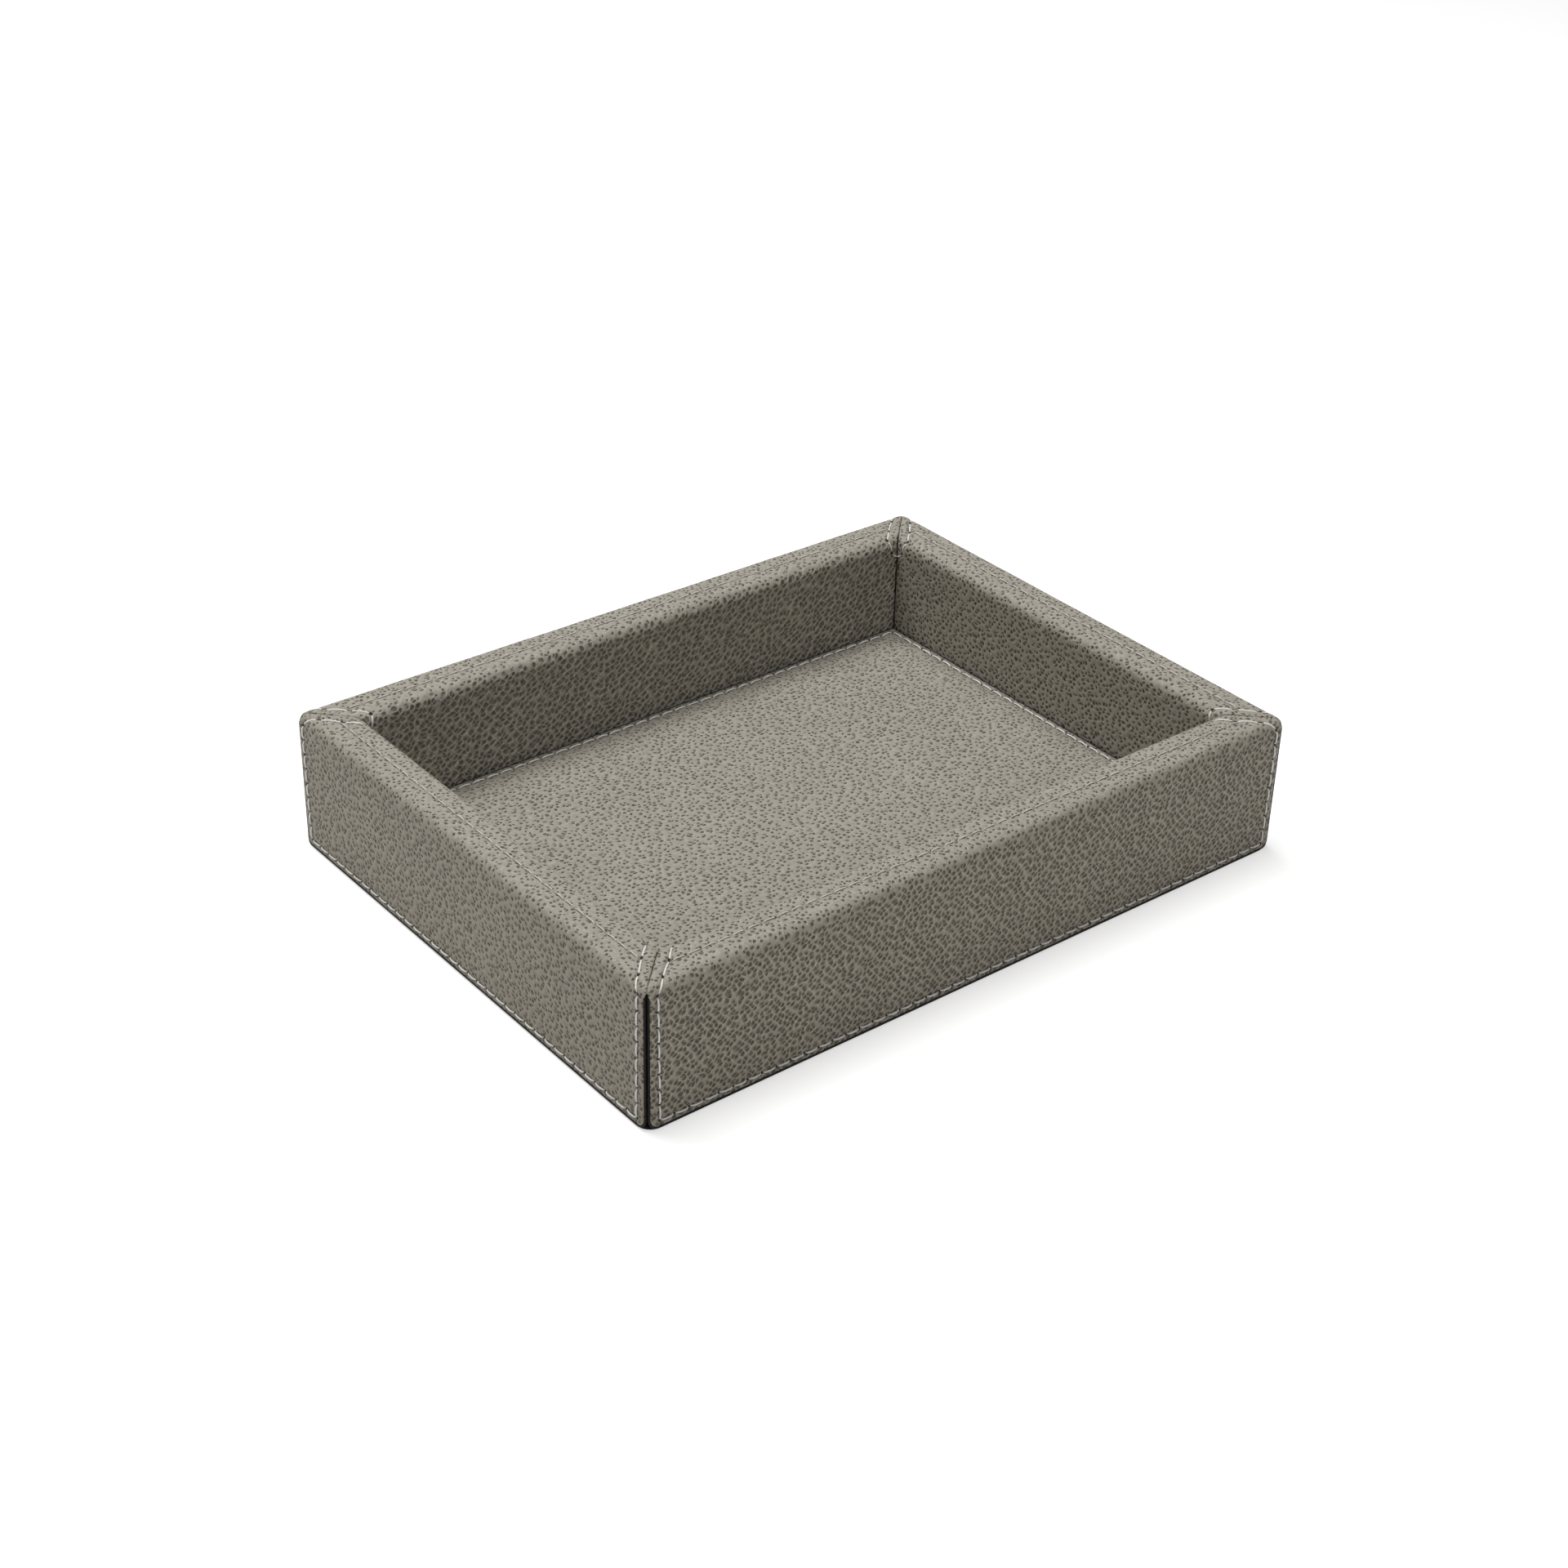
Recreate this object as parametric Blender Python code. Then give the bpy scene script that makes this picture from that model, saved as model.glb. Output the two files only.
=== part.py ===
"""A leather-covered desk tray with thick walls, contrast stitching and a padded floor.

Wooden boards with mitred corners form the frame, and a base board sits in a rebate under them.
Each wall is dressed in two pieces of leather, one outside and one inside, sewn together along
the middle of the rim. The outer pieces stop short of the corners, where their painted edges
show as a black line. A padded leather panel lies on the base board as the floor of the tray.

Units are metres, +Z is up, and the origin is the middle of the underside.
The long sides run along X. Each wall is modelled as the front one and turned into its place:
there, depth is measured inwards from the outer face, and x runs along the wall.
"""

import math

import bmesh
import bpy

# Overall size over the leather
TRAY_LENGTH = 0.260
TRAY_WIDTH = 0.195
TRAY_HEIGHT = 0.050

# Stock thicknesses
LEATHER = 0.0010
WALL_BOARD = 0.0138
BASE_BOARD = 0.0080
BASE_COVER = 0.0010
EDGE_PAINT = 0.00025

# Gaps between pieces
GLUE_LINE = 0.0003
PAINT_GAP = 0.0001
SEWN_GAP = 0.0003
MITRE_GAP = 0.0003

# Rim and panel edges
RIM_OUTER_RADIUS = 0.0033
RIM_INNER_RADIUS = 0.0038
RIM_SEAM_DIP = 0.0005
RIM_SEAM_DIP_WIDTH = 0.0010
PANEL_CORNER_RADIUS = 0.0035

# Frame joinery
REBATE_DEPTH = 0.0060
TONGUE_THICKNESS = 0.0030
TONGUE_WIDTH = 0.0100
TONGUE_MARGIN = 0.0050

# Base cover
BASE_COVER_INSET = 0.0002
BASE_COVER_RADIUS = 0.0050

# Sewing
THREAD = 0.0006
THREAD_PROUD = 0.0002
THREAD_CLEARANCE = 0.0002
RIM_THREAD = 0.0004
RIM_THREAD_END_GAP = 0.0012
SEAM_OFFSET = 0.0036
BOTTOM_SEAM_OFFSET = 0.0022
SEAM_CORNER_RADIUS = 0.0008
SEAM_RIM_SPREAD = 0.0060
SEAM_NECK = 0.0040
SEAM_BEND_DROP = 0.0057
SEAM_BEND = 0.0023
SEAM_TIP_DROP = 0.0074
SEAM_TIP = 0.0007

# Floor pad
PAD_CLEARANCE = 0.0004
PAD_CARD = 0.0010
PAD_FOAM = 0.0010
PAD_SEAM_OFFSET = 0.0028
PAD_SEAM_RADIUS = 0.0015
PAD_CHANNEL_WIDTH = 0.0012
PAD_CHANNEL_DEPTH = 0.0006
PAD_SHOULDER = 0.0140
PAD_CROWN = 0.0025
PAD_SHOULDER_SHARES = (0.0, 0.12, 0.26, 0.42, 0.6, 0.8, 1.0)

CUT_OVERRUN = 0.0020
ARC_STEPS = 5
THREAD_BEVEL_RESOLUTION = 1

# Levels and depths that follow from the sizes above
WALL = WALL_BOARD + 2 * (LEATHER + GLUE_LINE)
BOARD_NEAR = LEATHER + GLUE_LINE
BOARD_FAR = WALL - LEATHER - GLUE_LINE
BOARD_TOP = TRAY_HEIGHT - LEATHER - GLUE_LINE
BOARD_BOTTOM = BASE_COVER + GLUE_LINE
REBATE_WALL = BOARD_FAR - REBATE_DEPTH
REBATE_TOP = BOARD_BOTTOM + BASE_BOARD + GLUE_LINE
PAINT_SPACE = EDGE_PAINT + 2 * PAINT_GAP
PANEL_BOTTOM = BASE_COVER + PAINT_SPACE
PANEL_TOP = TRAY_HEIGHT - RIM_OUTER_RADIUS
PANEL_END = LEATHER + PAINT_SPACE
PAD_CARD_BOTTOM = REBATE_TOP
PAD_CARD_TOP = PAD_CARD_BOTTOM + PAD_CARD
PAD_FOAM_BOTTOM = PAD_CARD_TOP + GLUE_LINE
PAD_LEATHER_BOTTOM = PAD_FOAM_BOTTOM + PAD_FOAM + GLUE_LINE
PAD_TOP = PAD_LEATHER_BOTTOM + LEATHER
OUTER_ROLL = (RIM_OUTER_RADIUS, TRAY_HEIGHT - RIM_OUTER_RADIUS)
INNER_ROLL = (WALL - RIM_INNER_RADIUS, TRAY_HEIGHT - RIM_INNER_RADIUS)
THREAD_SINK = THREAD / 2 - THREAD_PROUD

# Each wall: its turn about Z, half its length, and how far its outer face is from the middle
WALLS = {
    "front": (0.0, TRAY_LENGTH / 2, TRAY_WIDTH / 2),
    "right": (math.pi / 2, TRAY_WIDTH / 2, TRAY_LENGTH / 2),
    "back": (math.pi, TRAY_LENGTH / 2, TRAY_WIDTH / 2),
    "left": (-math.pi / 2, TRAY_WIDTH / 2, TRAY_LENGTH / 2),
}

LEATHER_COLOUR = (0.27, 0.25, 0.22)
THREAD_COLOUR = (0.80, 0.77, 0.70)
RIM_THREAD_COLOUR = (0.36, 0.34, 0.30)
PAINT_COLOUR = (0.012, 0.011, 0.010)
BOARD_COLOUR = (0.42, 0.30, 0.18)
BASE_COVER_COLOUR = (0.020, 0.018, 0.016)
FOAM_COLOUR = (0.72, 0.70, 0.62)
CARD_COLOUR = (0.30, 0.29, 0.27)


def clear_scene():
    for obj in list(bpy.data.objects):
        bpy.data.objects.remove(obj, do_unlink=True)


def make_collection(name):
    collection = bpy.data.collections.new(name)
    bpy.context.scene.collection.children.link(collection)
    return collection


def make_material(name, colour, roughness):
    material = bpy.data.materials.new(name)
    material.use_nodes = True
    shader = material.node_tree.nodes["Principled BSDF"]
    shader.inputs["Base Color"].default_value = (*colour, 1.0)
    shader.inputs["Roughness"].default_value = roughness
    shader.inputs["Metallic"].default_value = 0.0
    return material


def add_object(name, data, turn=0.0, material=None):
    """Puts data in the tray's collection, or among the cutters if it has no material."""
    obj = bpy.data.objects.new(name, data)
    obj.rotation_euler.z = turn
    if material is None:
        CUTTERS.objects.link(obj)
        obj.hide_render = True
        obj.display_type = "WIRE"
    else:
        TRAY.objects.link(obj)
        data.materials.append(material)
    return obj


def mesh_from(bm, name):
    """Ends a bmesh as a mesh with its normals pointing out."""
    bmesh.ops.recalc_face_normals(bm, faces=bm.faces)
    mesh = bpy.data.meshes.new(name)
    bm.to_mesh(mesh)
    bm.free()
    return mesh


def cut(obj, cutter):
    modifier = obj.modifiers.new("Cut " + cutter.name, "BOOLEAN")
    modifier.operation = "DIFFERENCE"
    modifier.solver = "EXACT"
    modifier.object = cutter


def arc(centre, radius, start_degrees, end_degrees):
    """Points of an arc from one angle to another, both ends included."""
    points = []
    for step in range(ARC_STEPS + 1):
        share = step / ARC_STEPS
        angle = math.radians(start_degrees + (end_degrees - start_degrees) * share)
        points.append((centre[0] + radius * math.cos(angle), centre[1] + radius * math.sin(angle)))
    return points


def extruded(points, placed, offset):
    """A bmesh prism: placed(point) gives each outline point in space, and offset is the prism's run."""
    bm = bmesh.new()
    start = [bm.verts.new(placed(point)) for point in points]
    face = bm.faces.new(start)
    made = bmesh.ops.extrude_face_region(bm, geom=[face])
    end = [v for v in made["geom"] if isinstance(v, bmesh.types.BMVert)]
    bmesh.ops.translate(bm, verts=end, vec=offset)
    return bm, start, end


def upright_plate(name, outline, near, far):
    """A plate in a wall's own plane: outline in (x, z), reaching from near to far along y."""
    bm, _, _ = extruded(outline, lambda p: (p[0], near, p[1]), (0, far - near, 0))
    return mesh_from(bm, name)


def block(half_x, half_y, bottom, top):
    """A level rectangular block as a bmesh, reaching from bottom to top."""
    bm = bmesh.new()
    bmesh.ops.create_cube(bm, size=1)
    bmesh.ops.scale(bm, vec=(2 * half_x, 2 * half_y, top - bottom), verts=bm.verts)
    bmesh.ops.translate(bm, vec=(0, 0, (bottom + top) / 2), verts=bm.verts)
    return bm


def round_upright_edges(bm, radius):
    upright = [e for e in bm.edges if e.verts[0].co.z != e.verts[1].co.z]
    bmesh.ops.bevel(
        bm,
        geom=upright,
        offset=radius,
        offset_type="OFFSET",
        segments=ARC_STEPS,
        profile=0.5,
        affect="EDGES",
    )


def mitred_bar(name, section, half_length, reach):
    """A bar along x whose ends are cut at 45 degrees. The section is given in (depth, z)."""
    back_off = MITRE_GAP * math.sqrt(0.5)
    bm, start, end = extruded(section, lambda p: (0, p[0] - reach, p[1]), (half_length, 0, 0))
    for verts, side in ((start, -1), (end, 1)):
        for v in verts:
            depth = v.co.y + reach
            v.co.x = side * (half_length - depth - back_off)
    return mesh_from(bm, name)


def rounded_rectangle(half_x, half_y, radius):
    points = []
    for side_x, side_y, start in ((1, 1, 0), (-1, 1, 90), (-1, -1, 180), (1, -1, 270)):
        centre = (side_x * (half_x - radius), side_y * (half_y - radius))
        points += arc(centre, radius, start, start + 90)
    return points


def board_section():
    """A wall board: rounded along the top, with a rebate for the base board at the inner foot."""
    return [
        (BOARD_NEAR, BOARD_BOTTOM),
        *arc(OUTER_ROLL, RIM_OUTER_RADIUS - BOARD_NEAR, 180, 90),
        *arc(INNER_ROLL, RIM_INNER_RADIUS - BOARD_NEAR, 90, 0),
        (BOARD_FAR, REBATE_TOP),
        (REBATE_WALL, REBATE_TOP),
        (REBATE_WALL, BOARD_BOTTOM),
    ]


def outer_cover_section():
    """The outside leather: up the outer face, over the edge and half across the rim.

    Its edge is pared thin where it is sewn to the inside leather, so the seam lies in a dip.
    """
    seam = WALL / 2 - SEWN_GAP / 2
    return [
        (0, PANEL_BOTTOM),
        *arc(OUTER_ROLL, RIM_OUTER_RADIUS, 180, 90),
        (seam - RIM_SEAM_DIP_WIDTH, TRAY_HEIGHT),
        (seam, TRAY_HEIGHT - RIM_SEAM_DIP),
        (seam, TRAY_HEIGHT - LEATHER),
        *arc(OUTER_ROLL, RIM_OUTER_RADIUS - LEATHER, 90, 180),
        (LEATHER, PANEL_BOTTOM),
    ]


def inner_cover_section():
    """The inside leather: from the seam on the rim, over the edge and down to the base board."""
    seam = WALL / 2 + SEWN_GAP / 2
    return [
        (seam, TRAY_HEIGHT - RIM_SEAM_DIP),
        (seam + RIM_SEAM_DIP_WIDTH, TRAY_HEIGHT),
        *arc(INNER_ROLL, RIM_INNER_RADIUS, 90, 0),
        (WALL, REBATE_TOP),
        (WALL - LEATHER, REBATE_TOP),
        *arc(INNER_ROLL, RIM_INNER_RADIUS - LEATHER, 0, 90),
        (seam, TRAY_HEIGHT - LEATHER),
    ]


def panel_edge(half_length, grow, top):
    """The free edge of an outer cover, down one side, along the foot and up the other, in (x, z)."""
    half = half_length - PANEL_END + grow
    radius = PANEL_CORNER_RADIUS + grow
    foot = PANEL_BOTTOM - grow
    left = arc((-half + radius, foot + radius), radius, 180, 270)
    right = arc((half - radius, foot + radius), radius, 270, 360)
    return [(-half, top), *left, *right, (half, top)]


def trim_outline(half_length):
    """What is trimmed off an outer cover: all that lies outside its free edge."""
    wide = half_length + CUT_OVERRUN
    low = PANEL_BOTTOM - CUT_OVERRUN
    outside = [(wide, PANEL_TOP), (wide, low), (-wide, low), (-wide, PANEL_TOP)]
    return panel_edge(half_length, 0, PANEL_TOP) + outside


def foot_outline(half_length, side):
    """What is rounded off a board's lower end, so that it stays behind the cover's corner."""
    centre_x = half_length - PANEL_END - PANEL_CORNER_RADIUS
    centre_z = PANEL_BOTTOM + PANEL_CORNER_RADIUS
    radius = PANEL_CORNER_RADIUS + PAINT_SPACE - GLUE_LINE
    wide = centre_x + radius + CUT_OVERRUN
    low = centre_z - radius - CUT_OVERRUN
    round_part = arc((centre_x, centre_z), radius, 270, 360)
    outline = [*round_part, (wide, centre_z), (wide, low), (centre_x, low)]
    return [(side * x, z) for x, z in outline]


def paint_outline(half_length):
    """The coat of paint along an outer cover's free edge."""
    top = PANEL_TOP - PAINT_GAP
    near = panel_edge(half_length, PAINT_GAP, top)
    far = panel_edge(half_length, PAINT_GAP + EDGE_PAINT, top)
    return near + far[::-1]


def seam_half(half_length):
    """The thread's way on the right half of a wall, as (point, normal) pairs on the leather.

    It runs along the foot, up beside the corner, over the rim beside the mitre, and down the
    inner face to a tip in the corner. Points are (x, depth, z).
    """
    side = half_length - PANEL_END - SEAM_OFFSET
    foot = PANEL_BOTTOM + BOTTOM_SEAM_OFFSET
    out, up, back = (0, -1, 0), (0, 0, 1), (0, 1, 0)

    def beside_mitre(depth):
        if depth < INNER_ROLL[0]:
            start, end, share = half_length - side, SEAM_RIM_SPREAD, depth / INNER_ROLL[0]
        else:
            start, end = SEAM_RIM_SPREAD, SEAM_NECK
            share = (depth - INNER_ROLL[0]) / RIM_INNER_RADIUS
        return half_length - depth - (start + (end - start) * share)

    way = []
    turn_centre = (side - SEAM_CORNER_RADIUS, foot + SEAM_CORNER_RADIUS)
    for x, z in arc(turn_centre, SEAM_CORNER_RADIUS, -90, 0):
        way.append(((x, 0, z), out))
    for depth, z in arc(OUTER_ROLL, RIM_OUTER_RADIUS, 180, 90):
        away = ((depth - OUTER_ROLL[0]) / RIM_OUTER_RADIUS, (z - OUTER_ROLL[1]) / RIM_OUTER_RADIUS)
        way.append(((beside_mitre(depth), depth, z), (0, away[0], away[1])))
    way.append(((beside_mitre(WALL / 2), WALL / 2, TRAY_HEIGHT), up))
    for depth, z in arc(INNER_ROLL, RIM_INNER_RADIUS, 90, 0):
        away = ((depth - INNER_ROLL[0]) / RIM_INNER_RADIUS, (z - INNER_ROLL[1]) / RIM_INNER_RADIUS)
        way.append(((beside_mitre(depth), depth, z), (0, away[0], away[1])))
    for gap, drop in ((SEAM_BEND, SEAM_BEND_DROP), (SEAM_TIP, SEAM_TIP_DROP)):
        way.append(((half_length - WALL - gap, WALL, TRAY_HEIGHT - drop), back))
    return way


def seam_points(half_length, reach):
    """The centre line of a wall's contrast thread, from its left tip to its right tip."""
    right = []
    for (x, depth, z), normal in seam_half(half_length):
        sunk = [-THREAD_SINK * part for part in normal]
        right.append((x + sunk[0], depth - reach + sunk[1], z + sunk[2]))
    left = [(-x, y, z) for x, y, z in reversed(right)]
    return left + right


def tube_curve(name, points, diameter, closed=False):
    curve = bpy.data.curves.new(name, "CURVE")
    curve.dimensions = "3D"
    curve.bevel_depth = diameter / 2
    curve.bevel_resolution = THREAD_BEVEL_RESOLUTION
    curve.use_fill_caps = True
    spline = curve.splines.new("POLY")
    spline.points.add(len(points) - 1)
    for point, place in zip(spline.points, points):
        point.co = (*place, 1.0)
    spline.use_cyclic_u = closed
    return curve


def groove_cutter(name, points, turn):
    """A tube wider than the thread by its clearance, as a mesh that can cut."""
    curve = tube_curve(name, points, THREAD + 2 * THREAD_CLEARANCE)
    guide = add_object(name + "_guide", curve, turn)
    bpy.context.view_layer.update()
    evaluated = guide.evaluated_get(bpy.context.evaluated_depsgraph_get())
    mesh = bpy.data.meshes.new_from_object(evaluated)
    bm = bmesh.new()
    bm.from_mesh(mesh)
    bmesh.ops.remove_doubles(bm, verts=bm.verts, dist=THREAD_CLEARANCE / 10)
    bmesh.ops.recalc_face_normals(bm, faces=bm.faces)
    bm.to_mesh(mesh)
    bm.free()
    cutter = add_object(name, mesh)
    cutter.matrix_world = guide.matrix_world
    bpy.data.objects.remove(guide, do_unlink=True)
    return cutter


def tongue_block(name, corner, clearance, material=None):
    """The loose tongue across a mitre, or the cutter for its slot if it has no material."""
    side_x, side_y = corner
    bm = block(
        TONGUE_WIDTH / 2 + clearance,
        TONGUE_THICKNESS / 2 + clearance,
        REBATE_TOP + TONGUE_MARGIN - clearance,
        BOARD_TOP - TONGUE_MARGIN + clearance,
    )
    turn = -side_x * side_y * math.pi / 4
    obj = add_object(name, mesh_from(bm, name), turn, material)
    obj.location.x = side_x * (TRAY_LENGTH - WALL) / 2
    obj.location.y = side_y * (TRAY_WIDTH - WALL) / 2
    return obj


def make_frame(board_material, tongue_material):
    """Four mitred boards, a loose tongue in each corner, and the base board."""
    corners = {
        "front_left": (-1, -1),
        "front_right": (1, -1),
        "back_right": (1, 1),
        "back_left": (-1, 1),
    }
    boards = {}
    for wall, (turn, half_length, reach) in WALLS.items():
        name = "board_" + wall
        mesh = mitred_bar(name, board_section(), half_length, reach)
        boards[wall] = add_object(name, mesh, turn, board_material)
        for end, side in (("left", -1), ("right", 1)):
            name = "foot_" + wall + "_" + end
            near = -reach - CUT_OVERRUN
            mesh = upright_plate(name, foot_outline(half_length, side), near, WALL - reach)
            cut(boards[wall], add_object(name, mesh, turn))
    for where, corner in corners.items():
        tongue_block("corner_tongue_" + where, corner, 0, tongue_material)
        slot = tongue_block("slot_" + where, corner, GLUE_LINE)
        for wall in where.split("_"):
            cut(boards[wall], slot)
    half_x = TRAY_LENGTH / 2 - REBATE_WALL - GLUE_LINE
    half_y = TRAY_WIDTH / 2 - REBATE_WALL - GLUE_LINE
    bm = block(half_x, half_y, BOARD_BOTTOM, BOARD_BOTTOM + BASE_BOARD)
    add_object("base_board", mesh_from(bm, "base_board"), 0, board_material)


def make_covers(leather, paint):
    """The outside and inside leather of each wall, and the paint on the outside one's edge."""
    for wall, (turn, half_length, reach) in WALLS.items():
        groove = groove_cutter("groove_" + wall, seam_points(half_length, reach), turn)

        name = "outer_cover_" + wall
        outer = mitred_bar(name, outer_cover_section(), half_length, reach)
        outer = add_object(name, outer, turn, leather)
        near = -reach - CUT_OVERRUN
        far = -reach + LEATHER + CUT_OVERRUN
        trim = upright_plate("trim_" + wall, trim_outline(half_length), near, far)
        cut(outer, add_object("trim_" + wall, trim, turn))
        cut(outer, groove)

        name = "inner_cover_" + wall
        inner = mitred_bar(name, inner_cover_section(), half_length, reach)
        cut(add_object(name, inner, turn, leather), groove)

        name = "painted_edge_" + wall
        coat = upright_plate(name, paint_outline(half_length), -reach, -reach + LEATHER)
        add_object(name, coat, turn, paint)


def make_threads(contrast, tonal):
    """The contrast thread round each outer cover, and the tonal one in the seam on each rim."""
    for wall, (turn, half_length, reach) in WALLS.items():
        curve = tube_curve("seam_thread_" + wall, seam_points(half_length, reach), THREAD)
        add_object("seam_thread_" + wall, curve, turn, contrast)

        beside_mitre = half_length - PANEL_END - SEAM_OFFSET - WALL / 2
        end = beside_mitre - RIM_THREAD_END_GAP
        level = TRAY_HEIGHT - RIM_THREAD / 2
        points = [(-end, WALL / 2 - reach, level), (end, WALL / 2 - reach, level)]
        curve = tube_curve("rim_thread_" + wall, points, RIM_THREAD)
        add_object("rim_thread_" + wall, curve, turn, tonal)


def make_base_cover(material):
    """The sheet glued under the tray, which it rests on."""
    half_x = TRAY_LENGTH / 2 - BASE_COVER_INSET
    half_y = TRAY_WIDTH / 2 - BASE_COVER_INSET
    bm = block(half_x, half_y, 0, BASE_COVER)
    round_upright_edges(bm, BASE_COVER_RADIUS)
    add_object("base_cover", mesh_from(bm, "base_cover"), 0, material)


def crown_share(distance):
    """How far the pad has risen, from 0 to 1, at a distance in from its edge."""
    start = PAD_SEAM_OFFSET + PAD_CHANNEL_WIDTH
    share = min(max((distance - start) / PAD_SHOULDER, 0.0), 1.0)
    return 1 - (1 - share) ** 2


def pad_height(from_side, from_end):
    """The pad's upper face above its flat border: a sewn channel, then a soft crown inside it."""
    on_seam = any(math.isclose(d, PAD_SEAM_OFFSET) for d in (from_side, from_end))
    if on_seam and min(from_side, from_end) > PAD_SEAM_OFFSET - PAD_CHANNEL_WIDTH / 2:
        return -PAD_CHANNEL_DEPTH
    return PAD_CROWN * crown_share(from_side) * crown_share(from_end)


def rows_across(half, edge_rows):
    """Grid lines from one side to the other, as (place, distance in from the nearer edge)."""
    near = [(-half + d, d) for d in edge_rows]
    return near + [(0, half)] + [(-place, d) for place, d in reversed(near)]


def pad_layer(name, half_x, half_y, edge_rows, top, bottom):
    """A sheet of the pad with grid lines at the edge rows, its faces at top and bottom(a, b)."""
    columns = rows_across(half_x, edge_rows)
    rows = rows_across(half_y, edge_rows)
    segments = (len(columns) - 1, len(rows) - 1)
    bm = bmesh.new()
    bmesh.ops.create_grid(bm, x_segments=segments[0], y_segments=segments[1], size=1)
    made = bmesh.ops.extrude_face_region(bm, geom=bm.faces[:])
    upper = {v for v in made["geom"] if isinstance(v, bmesh.types.BMVert)}
    for v in bm.verts:
        x, from_side = columns[round((v.co.x + 1) / 2 * segments[0])]
        y, from_end = rows[round((v.co.y + 1) / 2 * segments[1])]
        level = top if v in upper else bottom
        v.co = (x, y, level(from_side, from_end))
    return mesh_from(bm, name)


def make_pad(leather, contrast, foam_material, card):
    """The floor of the tray: card, foam and leather, sewn through all round its border."""
    half_x = TRAY_LENGTH / 2 - WALL - PAD_CLEARANCE
    half_y = TRAY_WIDTH / 2 - WALL - PAD_CLEARANCE
    bm = block(half_x, half_y, PAD_CARD_BOTTOM, PAD_CARD_TOP)
    add_object("pad_card", mesh_from(bm, "pad_card"), 0, card)

    crown_start = PAD_SEAM_OFFSET + PAD_CHANNEL_WIDTH
    shoulder = [crown_start + PAD_SHOULDER * share for share in PAD_SHOULDER_SHARES]
    edge_rows = [0, PAD_SEAM_OFFSET - PAD_CHANNEL_WIDTH, PAD_SEAM_OFFSET, *shoulder]
    mesh = pad_layer(
        "pad_foam",
        half_x,
        half_y,
        edge_rows,
        lambda a, b: PAD_FOAM_BOTTOM + PAD_FOAM + pad_height(a, b),
        lambda a, b: PAD_FOAM_BOTTOM,
    )
    add_object("pad_foam", mesh, 0, foam_material)
    mesh = pad_layer(
        "pad_leather",
        half_x,
        half_y,
        edge_rows,
        lambda a, b: PAD_TOP + pad_height(a, b),
        lambda a, b: PAD_LEATHER_BOTTOM + pad_height(a, b),
    )
    mesh.shade_smooth()
    add_object("pad_leather", mesh, 0, leather)

    loop = rounded_rectangle(half_x - PAD_SEAM_OFFSET, half_y - PAD_SEAM_OFFSET, PAD_SEAM_RADIUS)
    level = PAD_TOP - PAD_CHANNEL_DEPTH + THREAD / 2 + GLUE_LINE
    points = [(x, y, level) for x, y in loop]
    curve = tube_curve("pad_thread", points, THREAD, closed=True)
    add_object("pad_thread", curve, 0, contrast)


clear_scene()
TRAY = make_collection("Leather desk tray")
CUTTERS = make_collection("Cutters")
leather = make_material("Grained leather", LEATHER_COLOUR, 0.6)
contrast = make_material("Cream thread", THREAD_COLOUR, 0.7)
tonal = make_material("Tonal thread", RIM_THREAD_COLOUR, 0.7)
paint = make_material("Edge paint", PAINT_COLOUR, 0.35)
fibreboard = make_material("Fibreboard", BOARD_COLOUR, 0.8)
plywood = make_material("Plywood", BOARD_COLOUR, 0.8)
suede = make_material("Base suede", BASE_COVER_COLOUR, 0.95)
foam = make_material("Foam", FOAM_COLOUR, 0.9)
card = make_material("Greyboard", CARD_COLOUR, 0.85)

make_frame(fibreboard, plywood)
make_base_cover(suede)
make_covers(leather, paint)
make_threads(contrast, tonal)
make_pad(leather, contrast, foam, card)
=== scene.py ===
# %% [markdown]
# A leather desk tray, sewn and padded
#
# This lesson dresses a plain model of a desk tray the way a leather worker would. The model
# that is loaded first is the frame: it says where every part is, and it never moves. Each step
# below makes one part of the tray look like the real one, from a flat blank of leather to the
# last stitch. All lengths are metres, X runs along the long sides and Z points up.

# %% Load the tray's model
import math

import bmesh
import bpy
import numpy as np
from mathutils import Matrix, Vector, noise


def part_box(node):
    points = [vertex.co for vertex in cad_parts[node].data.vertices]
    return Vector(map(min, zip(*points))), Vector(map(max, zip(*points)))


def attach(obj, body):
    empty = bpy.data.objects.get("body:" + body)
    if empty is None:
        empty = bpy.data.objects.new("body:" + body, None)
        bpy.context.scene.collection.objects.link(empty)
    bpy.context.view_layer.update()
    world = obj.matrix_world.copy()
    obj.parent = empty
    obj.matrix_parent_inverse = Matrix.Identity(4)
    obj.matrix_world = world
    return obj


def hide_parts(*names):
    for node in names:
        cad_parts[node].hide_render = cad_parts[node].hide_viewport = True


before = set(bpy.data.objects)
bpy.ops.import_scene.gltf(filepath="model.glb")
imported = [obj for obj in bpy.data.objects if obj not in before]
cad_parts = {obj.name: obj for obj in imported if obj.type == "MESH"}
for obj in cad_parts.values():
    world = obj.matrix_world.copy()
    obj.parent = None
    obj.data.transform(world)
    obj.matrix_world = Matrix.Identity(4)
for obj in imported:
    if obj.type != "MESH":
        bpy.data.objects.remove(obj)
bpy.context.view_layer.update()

# %% [markdown]
# The camera
#
# A photograph fixes where the camera stood. It looks down at the tray from the front left, about
# 31 degrees above the table, and is tilted by a degree and a half. A lens of 61 mm on a sensor
# of 36 mm shows the tray as wide in the picture as it is in the photograph.

# %% Set up the camera
AZIMUTH, ELEVATION, ROLL = -0.681653753, 0.542947494, 0.0258727133
DISTANCE, SLIDE_X, SLIDE_Y = 0.89902645, -0.00218757, 0.02017053
LENS, SENSOR = 61.24, 36.0


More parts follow.
